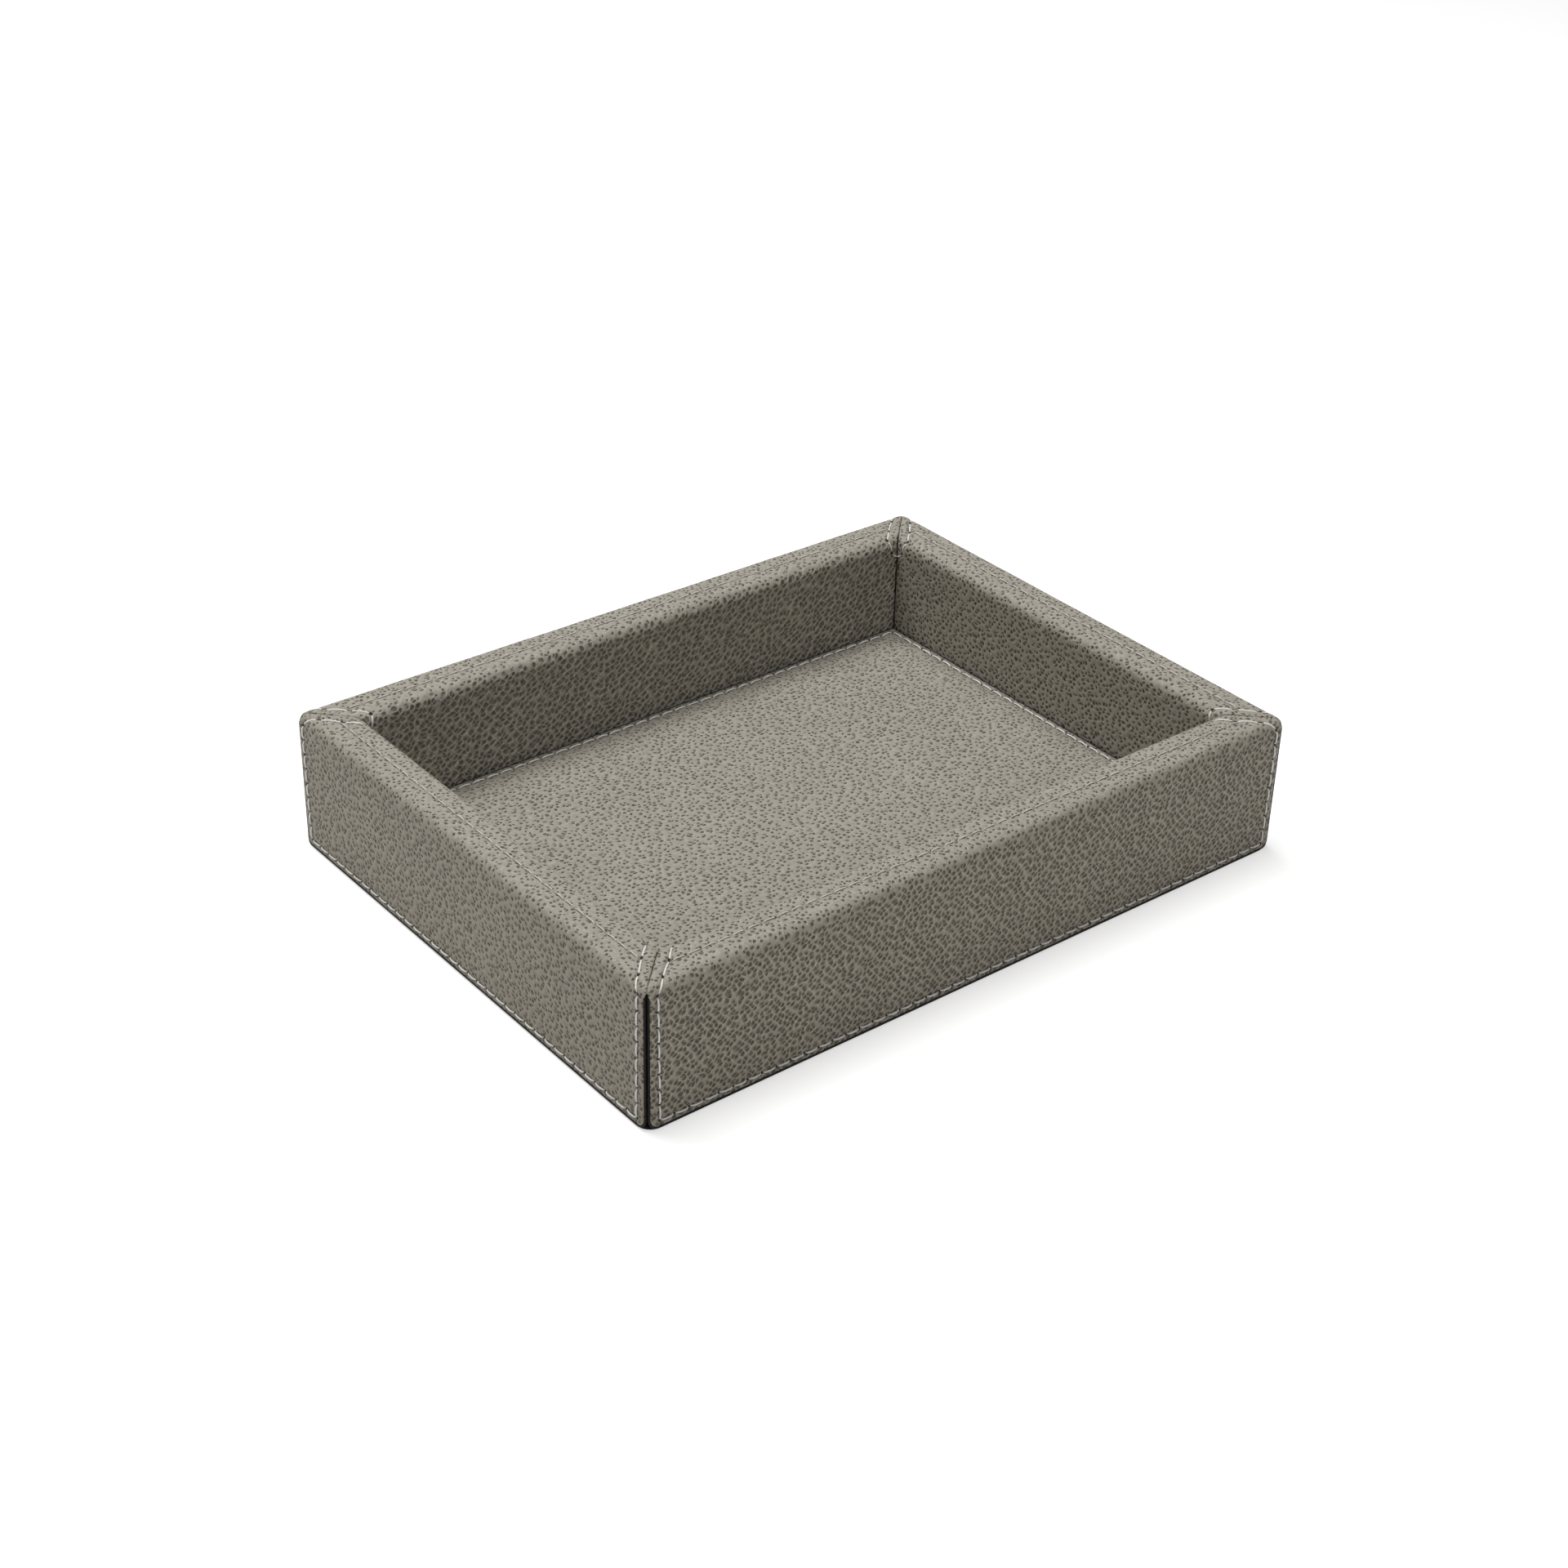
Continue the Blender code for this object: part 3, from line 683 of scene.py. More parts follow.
def painted_bead(sheet, half, reach, name):
    select_only(sheet)
    mode("EDIT")
    pick(sheet, "EDGE", lambda e: len(e.link_faces) == 1 and (
        middle(e).z < SLOT_TOP
        or math.hypot(half - abs(middle(e).x), middle(e).z - SLOT_TOP) < PANEL_END + WELD))
    bpy.ops.mesh.duplicate()
    bpy.ops.mesh.separate(type="SELECTED")
    mode("OBJECT")
    line = next(o for o in bpy.context.selected_objects if o != sheet)
    select_only(line)
    bpy.ops.object.convert(target="CURVE")
    line = bpy.context.object
    line.data.bevel_depth, line.data.bevel_resolution = BEAD, 2
    line.data.use_fill_caps = True
    bpy.ops.object.convert(target="MESH")
    line = name_it(name)
    move_mesh((0, BEAD_DEPTH, 0))
    points = places(line)
    sunk = np.clip((points[:, 2] - SINK_START) / SINK_RUN, 0, 1) * BEAD_SINK
    points += np.stack([-np.sign(points[:, 0]) * sunk, SINK_IN * sunk, -SINK_DOWN * sunk], 1)
    set_places(line, points)
    soften_corners(line, half, reach)
    bpy.ops.object.shade_smooth()
    return line


beads = {side: painted_bead(covers[side][0], half, reach, "painted_bead_" + side)
         for side, (half, reach) in SIDES.items()}
print("painted beads:", [len(b.data.polygons) for b in beads.values()], "faces")

# %% [markdown]
# Thickness
#
# The sheet has been the outer face of the leather so far. Once it is pressed into shape, a
# Solidify modifier gives it its millimetre of thickness, inwards, so that it closes into a solid
# with real cut edges. Only then are the outer corners drawn round.

# %% Press, map and thicken the covers


def thicken(obj):
    apply_modifier(obj, "thickness", "SOLIDIFY", thickness=LEATHER, offset=-1)
    bpy.ops.object.shade_smooth_by_angle(angle=math.radians(55))


for side, (half, reach) in SIDES.items():
    for cover, outside in zip(covers[side], (True, False)):
        deepest = press_cover(cover, half, holes[side], outside)
        write_sewing(cover, holes[side][0])
        thicken(cover)
        soften_corners(cover, half, reach)
        print(cover.name, "deepest press", round(deepest * 1000, 2), "mm,",
              len(cover.data.polygons), "faces")

# %% [markdown]
# One stitch
#
# A stitch is a short arch of waxed thread that rises out of one hole and dives into the next. It
# starts as a ring of eight points, is extruded ring by ring along the arch, and is closed at both
# ends. A UV map runs along and round the thread for the twist of its plies. It is modelled once
# and copied for every stitch.

# %% Model one stitch
THREAD, RIM_THREAD = 0.00026, 0.00019
ARCH = [
    (0.50, -0.60, 0.70), (0.60, -0.20, 0.92), (0.92, 0.08, 1.0), (1.62, 0.23, 1.06),
    (2.65, 0.28, 1.10), (3.68, 0.23, 1.06), (4.38, 0.08, 1.0), (4.70, -0.20, 0.92),
    (4.80, -0.60, 0.70),
]


def model_stitch(name, radius, rise, arch):
    """One stitch along +X from 0, its foot at height 0. The arch is (x, height, girth) in mm."""
    rings = [(x / 1000, z / 1000 * rise, girth) for x, z, girth in arch]
    select_only()
    bpy.ops.mesh.primitive_circle_add(
        vertices=8, radius=radius, fill_type="NGON", enter_editmode=True)
    obj = name_it(name)
    turn(90, "Y")
    x, z, girth = rings[0]
    bpy.ops.transform.resize(value=(1, girth, girth))
    bpy.ops.transform.translate(value=(x, 0, z))
    slopes = [math.degrees(math.atan2(b[1] - a[1], b[0] - a[0]))
              for a, b in zip([rings[0], *rings], [*rings[1:], rings[-1]])]
    turn(-slopes[0], "Y", (x, 0, z))
    for i in range(1, len(rings)):
        (ax, az, ag), (bx, bz, bg) = rings[i - 1], rings[i]
        extrude(bx - ax, 0, bz - az)
        bpy.ops.transform.resize(value=(bg / ag,) * 3, center_override=(bx, 0, bz))
        turn(slopes[i - 1] - slopes[i], "Y", (bx, 0, bz))
    close_mesh()
    layer = obj.data.uv_layers.new(name="ply")
    xs, levels, _ = zip(*rings)
    for face in obj.data.polygons:
        spots = [obj.data.vertices[i].co for i in face.vertices]
        around = [math.atan2(p.z - float(np.interp(p.x, xs, levels)), p.y) / (2 * math.pi) % 1
                  for p in spots]
        if max(around) - min(around) > 0.5:
            around = [a + 1 if a < 0.5 else a for a in around]
        for loop, p, a in zip(face.loop_indices, spots, around):
            layer.uv[loop].vector = (p.x * 1000, a)
    bpy.ops.object.shade_smooth_by_angle(angle=math.radians(70))
    return obj


stitch = model_stitch("stitch", THREAD, 1, ARCH)
rim_stitch = model_stitch("rim_stitch", RIM_THREAD, 0.75, ARCH)
half_pattern = model_stitch("half_pattern", THREAD, 0.62, ARCH[:5])
print("one stitch:", len(stitch.data.polygons), "faces")

# %% [markdown]
# Sew the walls
#
# Every stitch is laid on the flat plan from hole to hole, and then wrapped over the wall with
# it, so that the stitches on the rolled edges bend with the leather. Over the rim they lie deeper,
# like their groove. The two last stitches of a wall are halves: they dip into the inside corner
# and meet the halves of the next wall there.

# %% Lay the stitches
RIM_SINK, FINE_SINK = 0.00048, 0.00008
HALF_DIP, HALF_SINK = 0.0012, 0.00012


def on_wall(flat, lift, reach):
    depth, height, out_depth, out_height = wrap(flat[:, 1])
    return np.stack([flat[:, 0], depth - reach + out_depth * lift, height + out_height * lift], 1)


def copy_of(obj, name):
    copy = obj.copy()
    copy.data = obj.data.copy()
    copy.name = copy.data.name = name
    bpy.context.scene.collection.objects.link(copy)
    return copy


def lay(pattern, start, end, surface, level=0.0):
    """A copy of the stitch from start to end on the plan. surface(flat, lift) places its points."""
    local = places(pattern)
    run = np.array(end) - start
    length = np.hypot(*run)
    along = run / length
    aside = np.array([-along[1], along[0]])
    t = local[:, 0] / PITCH * length
    flat = np.array(start) + t[:, None] * along + local[:, 1, None] * aside
    copy = copy_of(pattern, "stitch")
    set_places(copy, surface(flat, local[:, 2] + level))
    return copy


def half_stitch(half, surface, side):
    """From the last hole down into the inside corner, like half the letter U."""
    start = (side * (half - WALL - BEND_GAP), V_BEND)
    tip = (side * (half - WALL - TIP_GAP), V_TIP)
    x, y, z = places(half_pattern).T
    share = np.clip(x / (PITCH / 2), 0, 1.05)
    flat = np.stack([
        start[0] + (tip[0] - start[0]) * share,
        start[1] + (tip[1] - start[1]) * (1 - (1 - share) ** 2) + y * side,
    ], 1)
    copy = copy_of(half_pattern, "half_stitch")
    set_places(copy, surface(flat, np.where(x > HALF_DIP, z - HALF_SINK, z)))
    return copy


def join(pieces, name):
    select_only(*pieces)
    bpy.ops.object.join()
    return name_it(name)


seams, rims = {}, {}
for side, (half, reach) in SIDES.items():
    seam, rim = holes[side]
    surface = lambda flat, lift, reach=reach: on_wall(flat, lift, reach)
    sewn = [lay(stitch, a, b, surface, -RIM_SINK * (max(a[1], b[1]) > V_ROLL + 0.001))
            for a, b in zip(seam, seam[1:])]
    sewn += [half_stitch(half, surface, s) for s in (-1, 1)]
    seams[side] = join(sewn, "seam_stitches_" + side)
    fine = [lay(rim_stitch, a, b, surface, -FINE_SINK) for a, b in zip(rim, rim[1:])]
    rims[side] = join(fine, "rim_stitches_" + side)
    print(side, "wall:", len(seams[side].data.polygons), "faces of contrast thread")

# %% [markdown]
# The padded floor
#
# The floor is leather over foam, sewn through round its border. Cloth simulation is the honest
# way to get its crown: the border is pinned, as the needle pins it, and pressure from below
# stands for the foam. The foam is a flat sheet, so it can lift the leather only so far, and after
# the simulation the height is blended with the foam's own rounded shoulder.

# %% Inflate the floor
PAD_LENGTH, PAD_WIDTH = 2 * pad_high.x, 2 * pad_high.y
PAD_SEAM, PAD_CELL = 0.0028, 0.0028
SHOULDER, ROUNDNESS, FOAM_SHARE, PUFF = 0.0135, 2.2, 0.65, 1.5
MOMENTS = 20


def pad_sheet():
    select_only()
    bpy.ops.mesh.primitive_grid_add(
        x_subdivisions=round(PAD_LENGTH / PAD_CELL), y_subdivisions=round(PAD_WIDTH / PAD_CELL),
        size=1, enter_editmode=True, calc_uvs=False)
    bpy.ops.transform.resize(value=(PAD_LENGTH, PAD_WIDTH, 1))
    bpy.ops.transform.translate(value=(0, 0, PAD_TOP))
    mode("OBJECT")
    return name_it("floor_leather")


def from_border(points):
    return np.minimum(PAD_LENGTH / 2 - np.abs(points[:, 0]), PAD_WIDTH / 2 - np.abs(points[:, 1]))


def inflate(obj):
    pinned = obj.vertex_groups.new(name="sewn down")
    inward = from_border(places(obj))
    pinned.add([int(i) for i in np.nonzero(inward < PAD_SEAM + 0.0004)[0]], 1.0, "REPLACE")
    cloth = obj.modifiers.new("foam pressure", "CLOTH")
    settings = cloth.settings
    settings.quality, settings.mass, settings.air_damping = 6, 0.15, 6
    settings.tension_stiffness = settings.compression_stiffness = 18
    settings.shear_stiffness, settings.bending_stiffness = 8, 0.6
    settings.vertex_group_mass = pinned.name
    settings.use_pressure, settings.uniform_pressure_force = True, 6
    settings.effector_weights.gravity = 0
    settings.shrink_min = -0.004
    cloth.point_cache.frame_start, cloth.point_cache.frame_end = 1, MOMENTS
    for moment in range(1, MOMENTS + 1):
        bpy.context.scene.frame_set(moment)
    select_only(obj)
    bpy.ops.object.modifier_apply(modifier=cloth.name)
    bpy.context.scene.frame_set(1)
    obj.vertex_groups.clear()


def crown_from_sheet(obj):
    """Blends the simulated rise, softly capped, with the rounded shoulder of the foam."""
    points = places(obj)
    rise = np.abs(points[:, 2] - PAD_TOP)
    print("simulated rise", round(float(rise.max()) * 1000, 2), "mm")
    inward = np.clip((from_border(points) - PAD_SEAM) / SHOULDER, 0, 1)
    foam = PAD_CROWN * (1 - (1 - inward) ** ROUNDNESS)
    if rise.max() > 1e-5:
        capped = PAD_CROWN * np.tanh(rise / PAD_CROWN * PUFF)
        foam = capped * (1 - FOAM_SHARE) + foam * FOAM_SHARE
    points[:, 2] = PAD_TOP + foam
    set_places(obj, points)


floor_leather = pad_sheet()
inflate(floor_leather)
crown_from_sheet(floor_leather)

# %% [markdown]
# Sew the floor
#
# The inflated sheet is divided finer round its border. Then the thread pulls it in, hole by hole,
# like on the walls. It is painted black where it meets the walls, a painted shadow in the gap, and
# painted a little darker over the 16 mm beside them, painted shade.

# %% Press and sew the floor
PAD_PITCH, FINE_BORDER = 0.0056, 0.0082
PAD_GROOVE, PAD_GROOVE_WIDTH, PAD_FULLY_PRESSED = 0.00045, 0.0008, 0.0008
PAD_EDGE_DIP, PAD_EDGE_WIDTH = 0.0004, 0.0008
# Painted shadow in the gap where the floor meets the walls, and painted shade beside them.
WALL_GAP_SHADOW, WALL_GAP_SHADOW_WIDTH = 5.0, 0.0021
SHADED_BORDER, SHADED_WIDTH = 0.45, 0.016
PAD_SLACK, PAD_DRAWN, DRAWN_PLACE, PAD_DRAWN_WIDTH = 0.16, 0.8, 0.007, 0.004
THREAD_REST = 0.0002


def pad_holes():
    x, y = PAD_LENGTH / 2 - PAD_SEAM, PAD_WIDTH / 2 - PAD_SEAM
    corners = [(-x, -y), (x, -y), (x, y), (-x, y), (-x, -y)]
    rows = [evenly(a, b, round(math.dist(a, b) / PAD_PITCH))[:-1]
            for a, b in zip(corners, corners[1:])]
    return np.concatenate([*rows, [corners[0]]])


floor_holes = pad_holes()
mode("EDIT")
pick(floor_leather, "FACE", lambda f: from_border(
    np.array([f.calc_center_median()]))[0] < FINE_BORDER)
bpy.ops.mesh.subdivide(number_cuts=FINE_CUTS)
mode("OBJECT")
spots = places(floor_leather)
inward = from_border(spots)
near = nearest_stitch(spots[:, :2], floor_holes)[1]
down = PAD_GROOVE * bump(near, PAD_GROOVE_WIDTH)
down += HOLE * bump(to_hole(spots[:, :2], floor_holes), HOLE_WIDTH)
down += PAD_EDGE_DIP * ramp(inward, PAD_EDGE_WIDTH)
floor_values = {
    "plan": spots * (1, 1, 0),
    # Grooves painted darker as shade, the border painted black as the gap's shadow and darker
    # beside it as shade.
    "pressed": np.clip(down / PAD_FULLY_PRESSED, 0, 1) + WALL_GAP_SHADOW * ramp(inward, WALL_GAP_SHADOW_WIDTH)
    + SHADED_BORDER * ramp(inward, SHADED_WIDTH),
    "bend": 0 * inward,
    "slack": 0 * inward + PAD_SLACK,
    "tanned": 0 * inward,
    "drawn": PAD_DRAWN * bump(inward - DRAWN_PLACE, PAD_DRAWN_WIDTH),
}
for name, values in floor_values.items():
    write(floor_leather, name, values)
push(floor_leather, SOFTNESS * softness(spots, 9.1) - down, "sewn channel")
write_sewing(floor_leather, floor_holes)


def on_floor(flat, lift):
    return np.stack([flat[:, 0], flat[:, 1], PAD_TOP - THREAD_REST + lift], 1)


floor_stitches = join(
    [lay(stitch, a, b, on_floor) for a, b in zip(floor_holes, floor_holes[1:])], "floor_stitches")
print("floor:", len(floor_leather.data.polygons), "faces,", len(floor_holes) - 1, "stitches")

# %% [markdown]
# Foam under the leather
#
# Nobody sees the foam, but a pad without it would be a shell. It is the sheet's own shape moved
# down under the leather, and extruded to a flat underside on the card.

# %% Make the foam and thicken the floor
_, card_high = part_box("pad_card")
GLUE = 0.0003


def make_foam(sheet):
    select_only(sheet)
    bpy.ops.object.duplicate()
    move_mesh((0, 0, -LEATHER - GLUE))
    mode("EDIT")
    extrude(0, 0, -0.004)
    bpy.ops.transform.resize(value=(1, 1, 0), center_override=(0, 0, card_high.z + GLUE))
    close_mesh()
    return name_it("floor_foam")


floor_foam = make_foam(floor_leather)
thicken(floor_leather)
foam_heights = places(floor_foam)[:, 2]
print("foam from", round(foam_heights.min(), 4), "to", round(foam_heights.max(), 4))

# %% [markdown]
# The sheet underneath
#
# A thin black suede sheet closes the tray below and shows as the lower half of the dark line at
# its foot. It is a plane with its corners rounded by a vertex bevel, extruded, pared thinner along
# its rim, with the edges softened by a bevel.

# %% Model the base sheet
_, base_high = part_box("base_cover")
BASE_CORNER, BASE_EDGE = 0.005, 0.00015


def make_base_sheet():
    obj = new_plane("base_sheet", 2 * base_high.x, 2 * base_high.y)
    bpy.ops.mesh.bevel(offset=BASE_CORNER, segments=8, affect="VERTICES")
    select_mesh()
    extrude(0, 0, base_high.z)
    select_mesh()
    bpy.ops.mesh.normals_make_consistent(inside=False)
    pick(obj, "FACE", lambda f: f.normal.z > 0.9)
    bpy.ops.mesh.inset(thickness=SKIVED, depth=0)
    is_outer = lambda part: any(abs(f.normal.z) < 0.1 for f in part.link_faces)
    pick(obj, "VERT", lambda p: p.co.z > 0.5 * base_high.z and is_outer(p))
    bpy.ops.transform.translate(value=(0, 0, -SKIVED_DROP))
    pick(obj, "EDGE", lambda e: is_outer(e) and abs(e.verts[0].co.z - e.verts[1].co.z) < 1e-6)
    bpy.ops.mesh.bevel(offset=BASE_EDGE, segments=3, affect="EDGES")
    mode("OBJECT")
    bpy.ops.object.shade_smooth_by_angle(angle=math.radians(40))
    return obj


base_sheet = make_base_sheet()
print("base sheet:", len(base_sheet.data.polygons), "faces")

# %% [markdown]
# Turn the walls into place
#
# Each wall's pieces are copied with their own mesh and turned about the middle of the tray. The
# plan is shifted on each leather, so that no two are cut from the same spot of the hide. Below
# stand, for the outside and the inside leather of each wall, how slack the hide is there, the
# direction of its rows of pits in degrees, the stretch along the rows, the fineness of the grain
# and the depth of its pits. The slackest leather, inside the back wall, has the strongest net.

# %% Copy and turn
WALLS = {
    "front": ("long", 0), "right": ("short", 90), "back": ("long", 180), "left": ("short", -90),
}
HIDE = {
    "front": ((1.0, 38, 1.0, 0.95, 0.95), (0.9, 38, 1.0, 1.0, 1.0)),
    "right": ((0.8, 218, 1.0, 1.0, 1.0), (0.60, 236, 1.15, 0.95, 1.0)),
    "back": ((0.9, 218, 1.0, 0.95, 1.0), (1.1, 218, 0.95, 0.80, 0.9)),
    "left": ((0.52, 59, 1.15, 0.98, 0.95), (0.8, 38, 1.0, 1.0, 1.0)),
}
NEW_NAMES = {
    "outer_cover": "outer_leather_", "inner_cover": "inner_leather_",
    "painted_edge": "painted_bead_", "seam_thread": "seam_stitches_",
    "rim_thread": "rim_stitches_",
}


def place_on_hide(piece, degrees, stretch, fineness, depth):
    """Writes the place across and along the rows of grain, and the depth of its pits."""
    plan, angle = read(piece) * fineness, math.radians(degrees)
    across = plan[:, 0] * math.cos(angle) + plan[:, 1] * math.sin(angle)
    along = plan[:, 1] * math.cos(angle) - plan[:, 0] * math.sin(angle)
    write(piece, "hide", np.stack([across, along / stretch, 0 * across + depth / 1000], 1))


def cut_from_hide(piece, shift, slack, *grain):
    write(piece, "plan", read(piece) + shift)
    values = np.zeros(len(piece.data.vertices))
    piece.data.attributes["slack"].data.foreach_get("value", values)
    write(piece, "slack", values * slack)
    place_on_hide(piece, *grain)


dressed = {}
for number, (wall, (side, degrees)) in enumerate(WALLS.items()):
    patterns = (*covers[side], beads[side], seams[side], rims[side])
    dressed[wall] = {part: copy_of(pattern, NEW_NAMES[part] + wall)
                     for part, pattern in zip(NEW_NAMES, patterns)}
    for piece in dressed[wall].values():
        piece.data.transform(Matrix.Rotation(math.radians(degrees), 4, "Z"))
    u, v = 0.41 * number, 0.17 * number
    cut_from_hide(dressed[wall]["outer_cover"], (u, v, 0), *HIDE[wall][0])
    cut_from_hide(dressed[wall]["inner_cover"], (u + 0.2, v + 0.31, 0), *HIDE[wall][1])
place_on_hide(floor_leather, 12, 1.0, 0.90, 0.95)

patterns = [stitch, rim_stitch, half_pattern]
for side in SIDES:
    patterns += [*covers[side], beads[side], seams[side], rims[side]]
for pattern in patterns:
    bpy.data.objects.remove(pattern, do_unlink=True)
print("walls dressed:", ", ".join(dressed))

# %% [markdown]
# Node helpers for materials
#
# Materials are trees of nodes. These helpers add a node with its settings, and link sockets in
# the order in which a value flows.

# %% Helpers for node trees


class Tree:
    """A material whose nodes are added one line at a time."""

    def __init__(self, name, roughness, **sockets):
        self.material = bpy.data.materials.new(name)
        self.material.use_nodes = True
        self.nodes, self.links = self.material.node_tree.nodes, self.material.node_tree.links
        self.shader = self.nodes["Principled BSDF"]
        self.shader.inputs["Roughness"].default_value = roughness
        for key, value in sockets.items():
            self.shader.inputs[key.replace("_", " ")].default_value = value

    def add(self, kind, inputs=None, **settings):
        made = self.nodes.new("ShaderNode" + kind)
        for key, value in settings.items():
            setattr(made, key, value)
        for key, value in (inputs or {}).items():
            if isinstance(value, bpy.types.NodeSocket):
                self.links.new(value, made.inputs[key])
            else:
                made.inputs[key].default_value = value
        return made

    def maths(self, operation, a, b=0.0, c=0.0):
        return self.add("Math", {0: a, 1: b, 2: c}, operation=operation).outputs[0]

    def times(self, a, b):
        return self.maths("MULTIPLY", a, b)

    def times_plus(self, a, b, c):
        return self.maths("MULTIPLY_ADD", a, b, c)

    def vectors(self, operation, a, b=(0, 0, 0), **inputs):
        made = self.add("VectorMath", {0: a, 1: b, **inputs}, operation=operation)
        return made.outputs["Value" if operation == "DOT_PRODUCT" else "Vector"]

    def attribute(self, name, output="Fac"):
        return self.add("Attribute", attribute_name=name).outputs[output]

    def parts(self, vector):
        return self.add("SeparateXYZ", {0: vector}).outputs

    def scaled(self, vector, *scale):
        return self.add("Mapping", {"Vector": vector, "Scale": scale}).outputs[0]

    def place(self):
        return self.add("TexCoord").outputs["Object"]

    def wander(self, vector, scale, amount):
        """Shifts a place by a slow noise, so that what is drawn there runs crooked."""
        noisy = self.add("TexNoise", {"Vector": vector, "Scale": scale}).outputs["Color"]
        shift = self.vectors("SUBTRACT", noisy, (0.5, 0.5, 0.5))
        return self.vectors("ADD", vector, self.vectors("SCALE", shift, Scale=amount))

    def step(self, value, low, high, to_low=0.0, to_high=1.0):
        """A smooth step from one number to another as the value goes from low to high."""
        return self.add("MapRange", {
            "Value": value, "From Min": low, "From Max": high, "To Min": to_low, "To Max": to_high,
        }, interpolation_type="SMOOTHSTEP").outputs["Result"]

    def noise(self, vector, scale, detail=2.0, rough=0.5):
        return self.add("TexNoise", {
            "Vector": vector, "Scale": scale, "Detail": detail, "Roughness": rough,
        }).outputs["Fac"]

    def blend(self, share, a, b, kind="MIX"):
        return self.add("Mix", {0: share, 6: a, 7: b}, data_type="RGBA", blend_type=kind).outputs[2]

    def finish(self, colour, height, distance, roughness=None):
        self.links.new(colour, self.shader.inputs["Base Color"])
        bumped = self.add("Bump", {"Height": height, "Distance": distance, "Strength": 1.0})
        self.links.new(bumped.outputs[0], self.shader.inputs["Normal"])
        if roughness is not None:
            self.links.new(roughness, self.shader.inputs["Roughness"])
        return self.material


# %% [markdown]
# Grained leather
#
# The hide is a taupe grey, printed with a pebble grain: rows of dark pits about 2 mm apart, with
# light creases between. The pits are dark partly from their dye and partly from painted shade, and
# the creases are painted light, painted highlights. A picture could be used, but a procedural grain
# has no seams and no limit of sharpness. One Voronoi texture gives the pits from the distance to
# its points, and another the creases from the distance to its cell walls. Both read the hide
# attribute, whose first two numbers are the place across and along the rows and whose third is the
# depth of the pits. Each pit has a lip and tilts like a scale, and the colour is painted lighter on
# one side of both and darker on the other, painted highlight and painted shade. Slack leather folds
# into a net of light lines, painted highlights, and upright faces are painted a little darker,
# painted shade. The outer faces are painted a little darker and browner than the rim, painted
# shade.

# %% Make the leather
LEATHER_COLOUR = (0.392, 0.366, 0.311, 1)
# Outer faces: a darker, browner copy of the leather colour, painted shade.
SHADED_FACE_COLOUR = (0.362, 0.327, 0.264, 1)
# Pits: the dye in them and painted shade.
PIT_DYE_AND_SHADE_COLOUR = (0.100, 0.082, 0.057, 1)
# Painted shade in needle holes, mitres and the floor's border, and the black of lapped edge paint.
HOLE_SHADE_AND_PAINT_COLOUR = (0.006, 0.005, 0.004, 1)
ROW, PIT_STEP = 1.95, 1.70
STITCH_LENGTH, HOLE_LENGTH, HOLE_BREADTH = 5.4, 0.60, 0.42


def make_cells(t, mm, folded, scaly):
    """Crooked rows of cells, one for each pit: the place in them, the pits and the walls."""
    spot = t.wander(t.wander(mm, 0.16, 3.0), 0.8, 0.5)
    spot = t.vectors("DIVIDE", spot, (ROW, PIT_STEP, 1))
    loose = t.times_plus(scaly, 0.12, t.times_plus(folded, -0.18, 0.85))
    cell = {"Vector": spot, "Scale": 1.0, "Randomness": loose}
    pits = t.add("TexVoronoi", cell, voronoi_dimensions="2D", feature="F1")
    walls = t.add("TexVoronoi", cell, voronoi_dimensions="2D", feature="DISTANCE_TO_EDGE")
    return spot, pits.outputs, walls.outputs["Distance"]


def make_pits(t, mm, pits, walls, slack, scaly):
    """A pit of its own size and depth in each cell, and the ring of its lip, where the colour gets
    painted highlight and painted shade.
    """
    chance = t.add("SeparateColor", {"Color": pits["Color"]}).outputs
    ragged = t.times_plus(t.noise(mm, 1.6), 0.12, -0.06)
    distance = t.maths("ADD", pits["Distance"], ragged)
    reach = t.times_plus(slack, 0.15, t.times_plus(chance[0], 0.13, 0.18))
    pit = t.step(distance, t.times(reach, 0.40), t.times(reach, 1.1), 1, 0)
    pit = t.times(pit, t.step(walls, 0.02, 0.14))
    pit = t.maths("MINIMUM", t.times(pit, t.parts(mm)[2]), 1.0)
    pit = t.times(pit, t.times_plus(chance[1], 0.32, 0.68))
    pit = t.times(pit, t.times_plus(scaly, -0.28, 1.0))
    return pit, t.step(distance, reach, t.times(reach, 1.7), 1, 0)


def make_scales(t, spot, pits, walls, slack):
    """Tilts each cell like a scale, along the row."""
    away = t.vectors("SUBTRACT", spot, pits["Position"])
    tilt = t.times(t.vectors("DOT_PRODUCT", away, (0.12, -1.0, 0)), t.step(walls, 0.0, 0.08))
    return t.times(tilt, t.maths("MAXIMUM", slack, 0.55))


def make_net(t, mm, spot, walls, folded, scaly):
    """Creases between the pits, broken lines along the rows and walls between the cells, raised in
    the bump and painted light as painted highlights.
    """
    line = t.maths("FRACT", t.maths("ADD", t.parts(spot)[0], 0.21))
    line = t.maths("ABSOLUTE", t.maths("SUBTRACT", line, 0.5))
    broken = t.step(t.noise(mm, 0.20), 0.38, 0.58, 0.1, 1)
    line = t.times(t.step(line, 0.29, 0.48), t.maths("MAXIMUM", broken, scaly))
    line = t.times(line, t.times_plus(scaly, 0.45, 1.0))
    wall = t.times(t.step(walls, 0.0, 0.20, 1, 0), t.times_plus(scaly, -0.25, 0.62))
    return t.times(t.maths("MAXIMUM", line, wall), folded)


